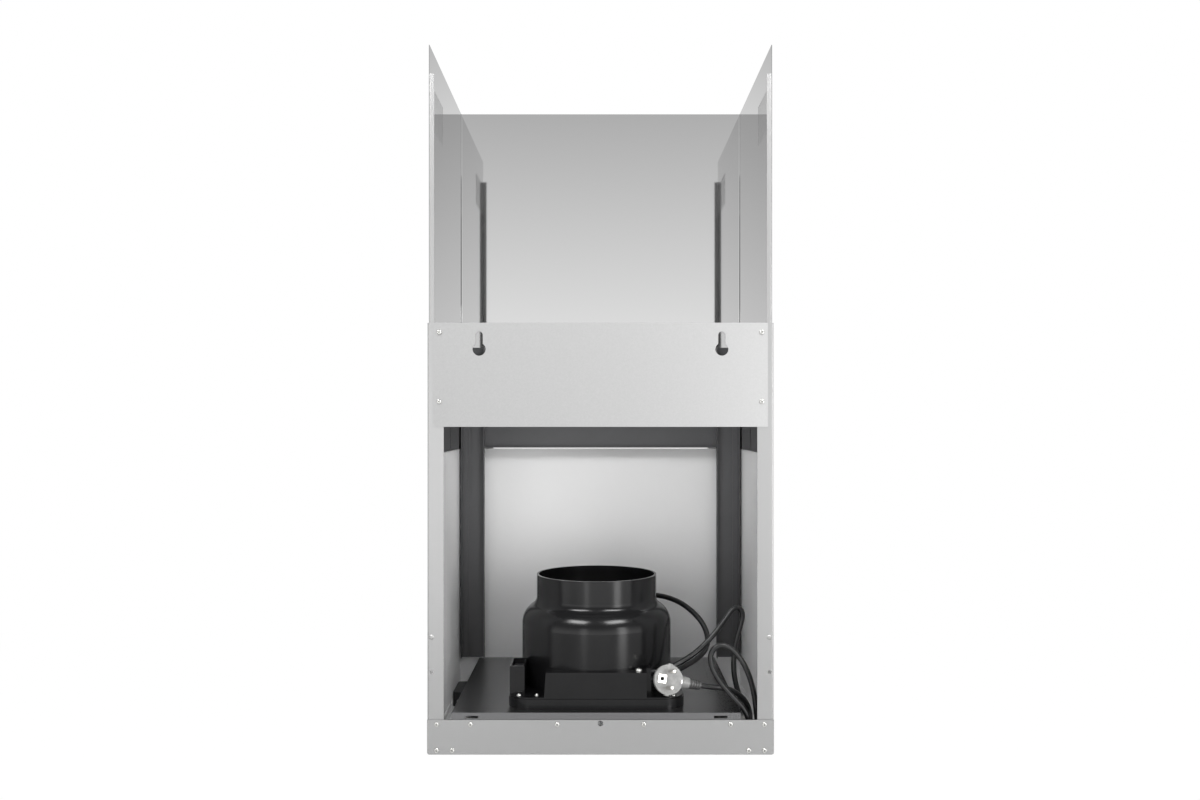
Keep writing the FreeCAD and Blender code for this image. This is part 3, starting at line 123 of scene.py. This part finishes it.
# Grinding marks of the outer side, in millimetres. Real ones are 0.1 mm wide.
MARK_LENGTH = 70.0
MARK_WIDTH = 0.7
GROUND_COLOUR = "#A5A5A5"
GROUND_ROUGHNESS = (0.34, 0.44)

# Faint clouds that rolling leaves on the inner side, in millimetres.
ROLLING_CLOUD = 60.0

# Crystals and finer grain of galvanised sheet, in millimetres.
CRYSTAL_SIZE = 1.4
GRAIN_SIZE = 0.6

# The studio, in metres, watts and shares.
FLOOR_REACH = 2.4
FLOOR_HEIGHT = -0.80
FLOOR_WHITE_SHARE = 0.95
FLOOR_WHITE_STRENGTH = 1.03
HORIZON_STRENGTH = 1.65
ZENITH_STRENGTH = 0.4
BAND_TOP = 0.4
LAMP_TARGET = (0, -0.12, -0.2)
LAMPS = (
    ("left_light", (0.68, 0.75, 1.0), (0.7, 0.4), 15),
    ("right_light", (-0.68, 0.75, 1.0), (0.7, 0.4), 15),
    ("left_band", (0.5, 1.4, -0.2), (0.2, 0.9), 1.2),
    ("right_band", (-0.9, 1.0, -0.2), (0.3, 0.9), 4.4),
)


def linear(colour):
    """A colour written as an sRGB hex value, for a shader."""
    channels = [int(colour[start:start + 2], 16) / 255 for start in (1, 3, 5)]
    return [value / 12.92 if value <= 0.04045 else ((value + 0.055) / 1.055) ** 2.4
            for value in channels] + [1.0]


def per_metre(size):
    """The scale of a pattern whose cells are of a real size in millimetres."""
    return 1 / (size * MM)


def add_node(tree, kind, inputs=None, **settings):
    """A shader node with its settings; an input is a value or another node's output."""
    node = tree.nodes.new("ShaderNode" + kind)
    for name, value in settings.items():
        setattr(node, name, value)
    for name, value in (inputs or {}).items():
        if isinstance(value, bpy.types.NodeSocket):
            tree.links.new(value, node.inputs[name])
        else:
            node.inputs[name].default_value = value
    return node


def new_material(name, inputs):
    """A material with one principled shader; returns it with its tree and shader."""
    material = bpy.data.materials.new(name)
    material.use_nodes = True
    tree = material.node_tree
    tree.nodes.clear()
    shader = add_node(tree, "BsdfPrincipled", inputs)
    add_node(tree, "OutputMaterial", {"Surface": shader.outputs[0]})
    return material, tree, shader


def sheet_outside(tree, coordinates):
    """1 on the outer side of a folded sheet: rear flanges, sides, front and underside."""
    place = add_node(tree, "SeparateXYZ", {0: coordinates.outputs["Object"]})
    normal = add_node(tree, "SeparateXYZ", {0: coordinates.outputs["Normal"]})
    sideways = add_node(tree, "Math", {0: place.outputs["X"], 1: normal.outputs["X"]},
                        operation="MULTIPLY")
    side = add_node(tree, "Math", {0: sideways.outputs[0], 1: SIDE_REACH},
                    operation="GREATER_THAN")
    rear = add_node(tree, "Math", {0: place.outputs["Y"], 1: REAR_PLANE},
                    operation="GREATER_THAN")
    front = add_node(tree, "Math", {0: normal.outputs["Y"], 1: FACING}, operation="LESS_THAN")
    under = add_node(tree, "Math", {0: normal.outputs["Z"], 1: FACING}, operation="LESS_THAN")
    ends = add_node(tree, "Math", {0: side.outputs[0], 1: rear.outputs[0]}, operation="MAXIMUM")
    faces = add_node(tree, "Math", {0: front.outputs[0], 1: under.outputs[0]},
                     operation="MAXIMUM")
    return add_node(tree, "Math", {0: ends.outputs[0], 1: faces.outputs[0]},
                    operation="MAXIMUM").outputs[0]


def stainless_sheet(name, inner, low, high):
    """Stainless steel sheet: ground with a belt outside; inside it is low to high rough."""
    material, tree, shader = new_material(name, {"Metallic": 1.0})
    coordinates = add_node(tree, "TexCoord")
    outside = sheet_outside(tree, coordinates)
    stretch = add_node(tree, "Mapping", {
        "Vector": coordinates.outputs["Object"],
        "Scale": (per_metre(MARK_LENGTH), per_metre(MARK_LENGTH), per_metre(MARK_WIDTH)),
    })
    lines = add_node(tree, "TexNoise", {"Vector": stretch.outputs[0], "Scale": 1.0,
                                        "Detail": 3.0, "Roughness": 0.6})
    # Rolling leaves faint clouds on the inner side.
    clouds = add_node(tree, "TexNoise", {"Vector": coordinates.outputs["Object"],
                                         "Scale": per_metre(ROLLING_CLOUD), "Detail": 2.0})
    ground = add_node(tree, "MapRange", {"Value": lines.outputs["Fac"],
                                         "To Min": GROUND_ROUGHNESS[0],
                                         "To Max": GROUND_ROUGHNESS[1]})
    rolled = add_node(tree, "MapRange", {"Value": clouds.outputs["Fac"],
                                         "To Min": low, "To Max": high})
    colour = add_node(tree, "Mix", {0: outside, 6: linear(inner), 7: linear(GROUND_COLOUR)},
                      data_type="RGBA")
    tree.links.new(colour.outputs[2], shader.inputs["Base Color"])
    roughness = add_node(tree, "Mix", {0: outside, 2: rolled.outputs[0], 3: ground.outputs[0]})
    tree.links.new(roughness.outputs[0], shader.inputs["Roughness"])
    depth = add_node(tree, "Math", {0: lines.outputs["Fac"], 1: outside}, operation="MULTIPLY")
    bump = add_node(tree, "Bump", {"Height": depth.outputs[0], "Strength": 0.1,
                                   "Distance": 0.02 * MM})
    tree.links.new(bump.outputs[0], shader.inputs["Normal"])
    return material


def galvanised_sheet(name, colour, dark, low, high):
    """Hot-dip galvanised steel: a grey skin of small zinc crystals, each with its own sheen, and a
    painted highlight that brightens one end of the sheet.
    """
    material, tree, shader = new_material(name, {"Metallic": 1.0})
    coordinates = add_node(tree, "TexCoord")
    # Crystals as in minimised spangle, with a finer grain over them.
    crystals = add_node(tree, "TexVoronoi", {"Vector": coordinates.outputs["Object"],
                                             "Scale": per_metre(CRYSTAL_SIZE), "Randomness": 1.0})
    grain = add_node(tree, "TexNoise", {"Vector": coordinates.outputs["Object"],
                                        "Scale": per_metre(GRAIN_SIZE), "Detail": 2.0})
    speckle = add_node(tree, "Mix", {0: 0.6, 2: crystals.outputs["Color"],
                                     3: grain.outputs["Fac"]})
    # Painted highlight: the skin is painted a little brighter towards one end of the sheet, the -X
    # end, where a broad highlight falls on the wall plate; the deck gets the same ramp.
    place = add_node(tree, "SeparateXYZ", {0: coordinates.outputs["Object"]})
    painted_highlight_ramp = add_node(tree, "MapRange", {"Value": place.outputs["X"], "From Min": 0.2,
                                       "From Max": -0.2})
    crystals_and_painted_highlight = add_node(tree, "Mix", {0: 0.6, 2: speckle.outputs[0], 3: painted_highlight_ramp.outputs[0]})
    skin = add_node(tree, "Mix", {0: crystals_and_painted_highlight.outputs[0], 6: linear(dark), 7: linear(colour)},
                    data_type="RGBA")
    tree.links.new(skin.outputs[2], shader.inputs["Base Color"])
    sheen = add_node(tree, "MapRange", {"Value": crystals_and_painted_highlight.outputs[0], "To Min": high,
                                        "To Max": low})
    tree.links.new(sheen.outputs[0], shader.inputs["Roughness"])
    bump = add_node(tree, "Bump", {"Height": grain.outputs["Fac"], "Strength": 0.25,
                                   "Distance": 0.02 * MM})
    tree.links.new(bump.outputs[0], shader.inputs["Normal"])
    return material


def plain_metal(name, colour, roughness, grain):
    """A small metal part: one colour, with the fine unevenness of plating or casting."""
    material, tree, shader = new_material(name, {"Base Color": linear(colour), "Metallic": 1.0})
    coordinates = add_node(tree, "TexCoord")
    noise = add_node(tree, "TexNoise", {"Vector": coordinates.outputs["Object"],
                                        "Scale": per_metre(grain), "Detail": 3.0})
    spread = add_node(tree, "MapRange", {"Value": noise.outputs["Fac"],
                                         "To Min": roughness * 0.75, "To Max": roughness * 1.3})
    tree.links.new(spread.outputs[0], shader.inputs["Roughness"])
    bump = add_node(tree, "Bump", {"Height": noise.outputs["Fac"], "Strength": 0.15,
                                   "Distance": 0.03 * MM})
    tree.links.new(bump.outputs[0], shader.inputs["Normal"])
    return material


def moulded_plastic(name, colour, cloud_tone_and_painted_reflection, roughness, grain, relief=0.2, cloud=25.0, gleam=0.5):
    """Moulded plastic: a colour in faint clouds of a size in millimetres, a mould's texture; on
    the plug the clouds are a painted reflection.
    """
    material, tree, shader = new_material(name, {"IOR": 1.5, "Specular IOR Level": gleam})
    coordinates = add_node(tree, "TexCoord")
    marks = add_node(tree, "TexNoise", {"Vector": coordinates.outputs["Object"],
                                        "Scale": per_metre(cloud), "Detail": 4.0,
                                        "Roughness": 0.65})
    skin = add_node(tree, "Mix", {0: marks.outputs["Fac"], 6: linear(colour),
                                  7: linear(cloud_tone_and_painted_reflection)}, data_type="RGBA")
    tree.links.new(skin.outputs[2], shader.inputs["Base Color"])
    gloss = add_node(tree, "MapRange", {"Value": marks.outputs["Fac"],
                                        "To Min": roughness * 0.85, "To Max": roughness * 1.2})
    tree.links.new(gloss.outputs[0], shader.inputs["Roughness"])
    texture = add_node(tree, "TexNoise", {"Vector": coordinates.outputs["Object"],
                                          "Scale": per_metre(grain), "Detail": 2.0})
    bump = add_node(tree, "Bump", {"Height": texture.outputs["Fac"], "Strength": relief,
                                   "Distance": 0.05 * MM})
    tree.links.new(bump.outputs[0], shader.inputs["Normal"])
    return material


def frosted_lens():
    """Frosted acrylic over the lamp's diodes: milky, with a fine etched surface."""
    material, tree, shader = new_material("frosted_acrylic", {
        "Base Color": linear("#EDEFEF"), "IOR": 1.49, "Transmission Weight": 0.35,
    })
    coordinates = add_node(tree, "TexCoord")
    etch = add_node(tree, "TexNoise", {"Vector": coordinates.outputs["Object"],
                                       "Scale": per_metre(0.6), "Detail": 2.0})
    rough = add_node(tree, "MapRange", {"Value": etch.outputs["Fac"], "To Min": 0.4,
                                        "To Max": 0.6})
    tree.links.new(rough.outputs[0], shader.inputs["Roughness"])
    return material


def stage_paint():
    """Matt white paint of the floor; it is as white as paper to the eye, shadow apart.

    Seen from below it is clear, so that the underside of the hood can be looked at.
    """
    material = bpy.data.materials.new("floor_paint")
    material.use_nodes = True
    tree = material.node_tree
    tree.nodes.clear()
    paint = add_node(tree, "BsdfDiffuse", {"Color": linear("#E9E9E9")})
    white = add_node(tree, "Emission", {"Color": linear("#FFFFFF"),
                                        "Strength": FLOOR_WHITE_STRENGTH})
    path = add_node(tree, "LightPath")
    share = add_node(tree, "Math", {0: path.outputs["Is Camera Ray"], 1: FLOOR_WHITE_SHARE},
                     operation="MULTIPLY")
    both = add_node(tree, "MixShader", {0: share.outputs[0], 1: paint.outputs[0],
                                        2: white.outputs[0]})
    side = add_node(tree, "NewGeometry")
    clear = add_node(tree, "BsdfTransparent")
    floor = add_node(tree, "MixShader", {0: side.outputs["Backfacing"], 1: both.outputs[0],
                                         2: clear.outputs[0]})
    add_node(tree, "OutputMaterial", {"Surface": floor.outputs[0]})
    return material


def dress(material, *names):
    """Gives CAD nodes a finish through their objects' slots."""
    for name in names:
        target = nodes[name]
        for slot in target.material_slots:
            slot.link = "OBJECT"
            slot.material = material
        if not target.material_slots:
            target.data.materials.append(material)


def mesh_object(name, mesh, material, body):
    """A new piece that rides on a body."""
    piece = bpy.data.objects.new(name, mesh)
    bpy.context.scene.collection.objects.link(piece)
    mesh.materials.append(material)
    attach(piece, body)
    return piece


def lathe(shape, profile, segments):
    """A closed turned form from (radius, height) points between two points on the axis."""
    rings = []
    for radius, height in profile:
        if radius == 0:
            rings.append([shape.verts.new((0, 0, height))])
            continue
        turns = [math.tau * index / segments for index in range(segments)]
        rings.append([shape.verts.new((radius * math.cos(turn), radius * math.sin(turn), height))
                      for turn in turns])
    for upper, lower in zip(rings, rings[1:]):
        for index in range(segments):
            following = (index + 1) % segments
            corners = [upper[index % len(upper)], lower[index % len(lower)],
                       lower[following % len(lower)], upper[following % len(upper)]]
            shape.faces.new(list(dict.fromkeys(corners)))


def crossed_recess(arm, width, depth, top):
    """The tapered cross that a screwdriver fits, as a solid to cut away."""
    shape = bmesh.new()
    half = width / 2
    outline = [(arm, half), (half, half), (half, arm), (-half, arm), (-half, half), (-arm, half),
               (-arm, -half), (-half, -half), (-half, -arm), (half, -arm), (half, -half),
               (arm, -half)]
    upper = [shape.verts.new((x, y, top + width)) for x, y in outline]
    lower = [shape.verts.new((x * RECESS_FOOT_SHARE, y * RECESS_FOOT_SHARE, top - depth))
             for x, y in outline]
    shape.faces.new(upper)
    shape.faces.new(lower[::-1])
    for index in range(len(outline)):
        following = (index + 1) % len(outline)
        shape.faces.new([upper[index], lower[index], lower[following], upper[following]])
    bmesh.ops.recalc_face_normals(shape, faces=shape.faces)
    mesh = bpy.data.meshes.new("recess")
    shape.to_mesh(mesh)
    shape.free()
    return mesh


def screw_mesh(profile):
    """A pan-head screw with a cross recess, its seat at height 0, in millimetres."""
    shape = bmesh.new()
    head_radius = profile[-1][0]
    rest = [(SHANK_RADIUS, 0.0), (SHANK_RADIUS, -SHANK_LENGTH), (0.0, -SHANK_LENGTH)]
    lathe(shape, list(profile) + rest, SCREW_SIDES)
    bmesh.ops.recalc_face_normals(shape, faces=shape.faces)
    mesh = bpy.data.meshes.new("screw")
    shape.to_mesh(mesh)
    shape.free()
    screw = bpy.data.objects.new("screw", mesh)
    top = profile[0][1]
    cross = crossed_recess(head_radius * RECESS_ARM_SHARE, head_radius * RECESS_WIDTH_SHARE,
                           top * RECESS_DEPTH_SHARE, top)
    cutter = bpy.data.objects.new("cutter", cross)
    for item in (screw, cutter):
        bpy.context.scene.collection.objects.link(item)
    cut = screw.modifiers.new("recess", "BOOLEAN")
    cut.operation = "DIFFERENCE"
    cut.solver = "EXACT"
    cut.object = cutter
    bpy.context.view_layer.update()
    ready = screw.evaluated_get(bpy.context.evaluated_depsgraph_get())
    result = bpy.data.meshes.new_from_object(ready)
    for item in (screw, cutter):
        bpy.data.objects.remove(item)
    return result


def place_screws(name, mesh, places, direction, material, replaced):
    """All screws of one CAD node as one piece, each turned by its own angle."""
    shape = bmesh.new()
    aim = Vector((0, 0, 1)).rotation_difference(Vector(direction)).to_matrix().to_4x4()
    for index, (x, y, z) in enumerate(places):
        count = len(shape.verts)
        shape.from_mesh(mesh)
        shape.verts.ensure_lookup_table()
        seat = Vector((x, y, z - KEYHOLE_HEIGHT)) * MM
        turn = Matrix.Rotation(math.radians(SCREW_TURN * index), 4, "Z")
        moved = Matrix.Translation(seat) @ aim @ turn @ Matrix.Scale(MM, 4)
        bmesh.ops.transform(shape, matrix=moved, verts=shape.verts[count:])
    joined = bpy.data.meshes.new(name)
    shape.to_mesh(joined)
    shape.free()
    for polygon in joined.polygons:
        polygon.use_smooth = True
    joined.set_sharp_from_angle(angle=math.radians(35))
    piece = mesh_object(name, joined, material, "base")
    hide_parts(replaced)


def cord_curve(name, points, radius, material):
    """A cord on one smooth curve through its control points."""
    curve = bpy.data.curves.new(name, "CURVE")
    curve.dimensions = "3D"
    curve.resolution_u = 12
    curve.bevel_depth = radius
    curve.bevel_resolution = 6
    curve.use_fill_caps = True
    spline = curve.splines.new("NURBS")
    spline.points.add(len(points) - 1)
    for point, (x, y, z) in zip(spline.points, points):
        point.co = (x * MM, y * MM, (z - KEYHOLE_HEIGHT) * MM, 1.0)
    spline.order_u = 3
    spline.use_endpoint_u = True
    curve.materials.append(material)
    piece = bpy.data.objects.new(name, curve)
    bpy.context.scene.collection.objects.link(piece)
    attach(piece, "base")
    return piece


def filter_weave(material):
    """The expanded mesh of the grease filter: layers of zigzag strands that meet at their tips."""
    low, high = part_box("filter_mesh")
    shape = bmesh.new()
    thick = (high[2] - low[2]) / MESH_LAYERS
    half = MESH_STRAND * MM / 2
    steps = int((high[0] - low[0]) / (MESH_PITCH * MM / 2))
    stride = (high[0] - low[0]) / steps
    rows = int((high[1] - low[1]) / (MESH_ROW * MM))
    row_stride = (high[1] - low[1] - 2 * half) / rows
    pad_half = MESH_PAD_HALF * MM
    pad_rear = MESH_PAD_REAR * MM
    for layer in range(MESH_LAYERS):
        height = low[2] + (layer + 0.5) * thick
        for row in range(rows):
            middle = low[1] + half + (row + 0.5) * row_stride
            line = []
            for step in range(steps + 1):
                swing = 0.5 if (step + row + layer) % 2 else -0.5
                x = low[0] + step * stride
                line.append(Vector((x, middle + swing * (row_stride - 2 * half), height)))
            add_strand(shape, line, half, thick * MESH_LIFT_SHARE, pad_half, pad_rear)
    mesh = bpy.data.meshes.new("filter_weave")
    shape.to_mesh(mesh)
    shape.free()
    piece = mesh_object("filter_weave", mesh, material, "filter")
    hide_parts("filter_mesh")


def add_strand(shape, line, half, lift, pad_half, pad_rear):
    """One strand of flat section along a line, left out where the latch's pad is."""
    runs = [[]]
    for point in line:
        if abs(point.x) < pad_half and point.y - half < pad_rear:
            runs.append([])
            continue
        runs[-1].append([shape.verts.new(point + Vector((0, a * half, b * lift)))
                         for a, b in ((-1, -1), (1, -1), (1, 1), (-1, 1))])
    for rings in runs:
        if len(rings) < 2:
            continue
        for before, after in zip(rings, rings[1:]):
            for index in range(4):
                following = (index + 1) % 4
                shape.faces.new([before[index], before[following], after[following],
                                 after[index]])
        shape.faces.new(rings[0][::-1])
        shape.faces.new(rings[-1])


def soften(width, *names):
    """Rounds the sharp edges of moulded or folded nodes by a small radius."""
    for name in names:
        edge = nodes[name].modifiers.new("edge", "BEVEL")
        edge.width = width * MM
        edge.segments = 2
        edge.limit_method = "ANGLE"
        edge.angle_limit = math.radians(50)
        edge.use_clamp_overlap = True
        edge.harden_normals = True


def area_light(name, place, target, size, power):
    """A soft box that looks at a target."""
    light = bpy.data.lights.new(name, "AREA")
    light.shape = "RECTANGLE"
    light.size, light.size_y = size
    light.energy = power
    lamp = bpy.data.objects.new(name, light)
    lamp.location = place
    lamp.rotation_euler = (Vector(target) - Vector(place)).to_track_quat("-Z", "Y").to_euler()
    bpy.context.scene.collection.objects.link(lamp)


def set_world():
    """White surroundings for the eye; for reflections a bright band round the horizon."""
    world = bpy.data.worlds.new("studio")
    bpy.context.scene.world = world
    world.use_nodes = True
    tree = world.node_tree
    tree.nodes.clear()
    direction = add_node(tree, "TexCoord").outputs["Generated"]
    slope = add_node(tree, "SeparateXYZ", {0: direction}).outputs["Z"]
    band = add_node(tree, "MapRange", {"Value": slope, "From Min": 0.0, "From Max": BAND_TOP,
                                       "To Min": HORIZON_STRENGTH, "To Max": ZENITH_STRENGTH})
    room = add_node(tree, "Background", {"Color": linear("#FFFFFF"),
                                         "Strength": band.outputs[0]})
    white = add_node(tree, "Background", {"Color": linear("#FFFFFF"), "Strength": 1.0})
    path = add_node(tree, "LightPath")
    seen = add_node(tree, "Math", {0: path.outputs["Is Camera Ray"],
                                   1: path.outputs["Is Transmission Ray"]},
                    operation="MAXIMUM")
    both = add_node(tree, "MixShader", {0: seen.outputs[0], 1: room.outputs[0],
                                        2: white.outputs[0]})
    add_node(tree, "OutputWorld", {"Surface": both.outputs[0]})


def set_stage():
    """The floor, the lights and the camera."""
    floor = bpy.data.meshes.new("floor")
    corners = ((-1, -1), (1, -1), (1, 1), (-1, 1))
    floor.from_pydata([(a * FLOOR_REACH, b * FLOOR_REACH, FLOOR_HEIGHT) for a, b in corners],
                      [], [(0, 1, 2, 3)])
    floor.materials.append(stage_paint())
    stage = bpy.data.objects.new("floor", floor)
    bpy.context.scene.collection.objects.link(stage)
    set_world()
    for name, place, size, power in LAMPS:
        area_light(name, place, LAMP_TARGET, size, power)
    camera = bpy.data.objects.new("camera", bpy.data.cameras.new("camera"))
    camera.location = CAMERA_PLACE
    camera.rotation_euler = (math.radians(90), 0, math.radians(180))
    camera.data.lens = CAMERA_LENS
    camera.data.sensor_width = CAMERA_SENSOR
    camera.data.shift_x, camera.data.shift_y = CAMERA_SHIFT
    bpy.context.scene.collection.objects.link(camera)
    bpy.context.scene.camera = camera
    bpy.context.scene.view_settings.view_transform = "Standard"


def make_cords(sheath):
    """The power cord with its plug, and the lead from the motor to the clamp."""
    power = cord_curve("power_cord_run", POWER_CORD_POINTS, POWER_CORD_RADIUS, sheath)
    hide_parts("power_cord")
    lead = cord_curve("motor_lead_run", MOTOR_LEAD_POINTS, MOTOR_LEAD_RADIUS, sheath)
    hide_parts("motor_lead")


def make_screws(zinc):
    """Every screw with its cross recess."""
    small = screw_mesh(SCREW_PROFILE)
    big = screw_mesh(BIG_SCREW_PROFILE)
    to_wall = (0, 1, 0)
    up = (0, 0, 1)
    place_screws("plate_screw_heads", small, PLATE_SCREWS, to_wall, zinc, "plate_screws")
    place_screws("panel_screw_heads", small, PANEL_SCREWS, to_wall, zinc, "panel_screws")
    place_screws("base_screw_heads", small, BASE_SCREWS, up, zinc, "base_screws")
    place_screws("housing_screw_heads", small, HOUSING_SCREWS, up, zinc, "housing_screws")
    place_screws("clamp_screw_head", big, CLAMP_SCREW, up, zinc, "clamp_screw")


def main():
    """Finishes, detailed pieces and the studio."""
    dress(stainless_sheet("bright_steel_sheet", "#BDBDBD", 0.03, 0.045), "chimney_cover")
    # Painted light: the inner side of the body's sheet is near-white, brighter than real steel, so
    # that its shaded inside reads as lit.
    dress(stainless_sheet("stainless_sheet", "#EEEEEE", 0.74, 0.8), "body_shell",
          "rear_bottom_panel", "bottom_tray", "stop_clips")
    # The wall plate and the deck carry a painted highlight ramp that runs across X.
    dress(galvanised_sheet("galvanised_sheet", "#BDBDBD", "#A0A0A0", 0.42, 0.5), "wall_plate")
    dress(galvanised_sheet("deck_sheet", "#7E7E7F", "#727273", 0.26, 0.32), "motor_deck")
    zinc = plain_metal("zinc_plating", "#CFCFCC", 0.25, 1.2)
    dress(plain_metal("dull_aluminium", "#A9A9A8", 0.45, 0.8), "flange_rivets")
    # Painted reflection: the guide frame is dark grey to stand in for the dark reflections that
    # the inner sheets show at the front corners and under the wall plate.
    dress(moulded_plastic("dark_painted_reflection", "#464647", "#4E4E50", 0.4, 0.6, 0.1), "guide_frame")
    housing = moulded_plastic("black_polypropylene", "#0D0D0E", "#131314", 0.2, 1.0, 0.05,
                              gleam=0.33)
    dress(housing, "blower_base", "blower_housing", "terminal_box", "wiring_cover",
          "cable_clamp", "inlet_grille", "motor_carrier", "lead_grommet")
    dress(moulded_plastic("dark_nylon", "#232325", "#2B2B2D", 0.4, 0.8), "impeller",
          "flap_rear", "flap_front", "filter_latch")
    dress(moulded_plastic("motor_enamel", "#242528", "#303134", 0.35, 1.5), "motor_case")
    dress(plain_metal("ground_steel", "#A2A2A2", 0.3, 1.0), "motor_shaft", "flap_spindle",
          "filter_pins")
    dress(moulded_plastic("capacitor_case", "#1E1E20", "#28282A", 0.35, 1.5), "capacitor")
    sheath = moulded_plastic("black_pvc", "#0D0D0E", "#151516", 0.32, 1.0, 0.1)
    dress(sheath, "power_cord", "motor_lead")
    # Painted reflection: the plug body is mottled from dark to light grey in 6 mm clouds, standing
    # in for the reflections on its glossy skin.
    dress(moulded_plastic("grey_pvc", "#525251", "#A0A09E", 0.25, 0.8, 0.2, 6.0), "plug_body")
    dress(moulded_plastic("dark_grey_pvc", "#4C4C4B", "#5A5A59", 0.3, 0.8), "cord_relief")
    dress(plain_metal("nickel_plating", "#E2E0DB", 0.18, 1.5), "plug_pins", "plug_earth_clip",
          "plug_earth_plate")
    filter_metal = plain_metal("bare_aluminium", "#CFD0D1", 0.35, 1.2)
    dress(filter_metal, "filter_frame", "filter_mesh")
    dress(plain_metal("satin_nickel", "#C9C8C5", 0.3, 1.0), "lamp_ring_left",
          "lamp_ring_right")
    dress(frosted_lens(), "lamp_lens_left", "lamp_lens_right")
    dress(plain_metal("cast_aluminium", "#A4A5A7", 0.5, 0.7), "lamp_body_left",
          "lamp_body_right")
    dress(moulded_plastic("driver_abs", "#1C1C1D", "#262627", 0.4, 1.0), "lamp_driver")
    dress(moulded_plastic("black_abs", "#101011", "#18181A", 0.25, 1.0, 0.1), "button_bezel",
          "switch_block")
    dress(plain_metal("satin_chrome", "#C4C4C2", 0.22, 1.2),
          *["button_%d" % index for index in range(1, 6)])
    dress(zinc, "plate_screws", "panel_screws", "base_screws", "housing_screws", "clamp_screw")
    soften(0.5, "plug_body", "wiring_cover", "terminal_box", "cable_clamp", "blower_base")
    soften(0.25, "cord_relief", "plug_pins")
    make_cords(sheath)
    make_screws(zinc)
    filter_weave(filter_metal)
    set_stage()


main()
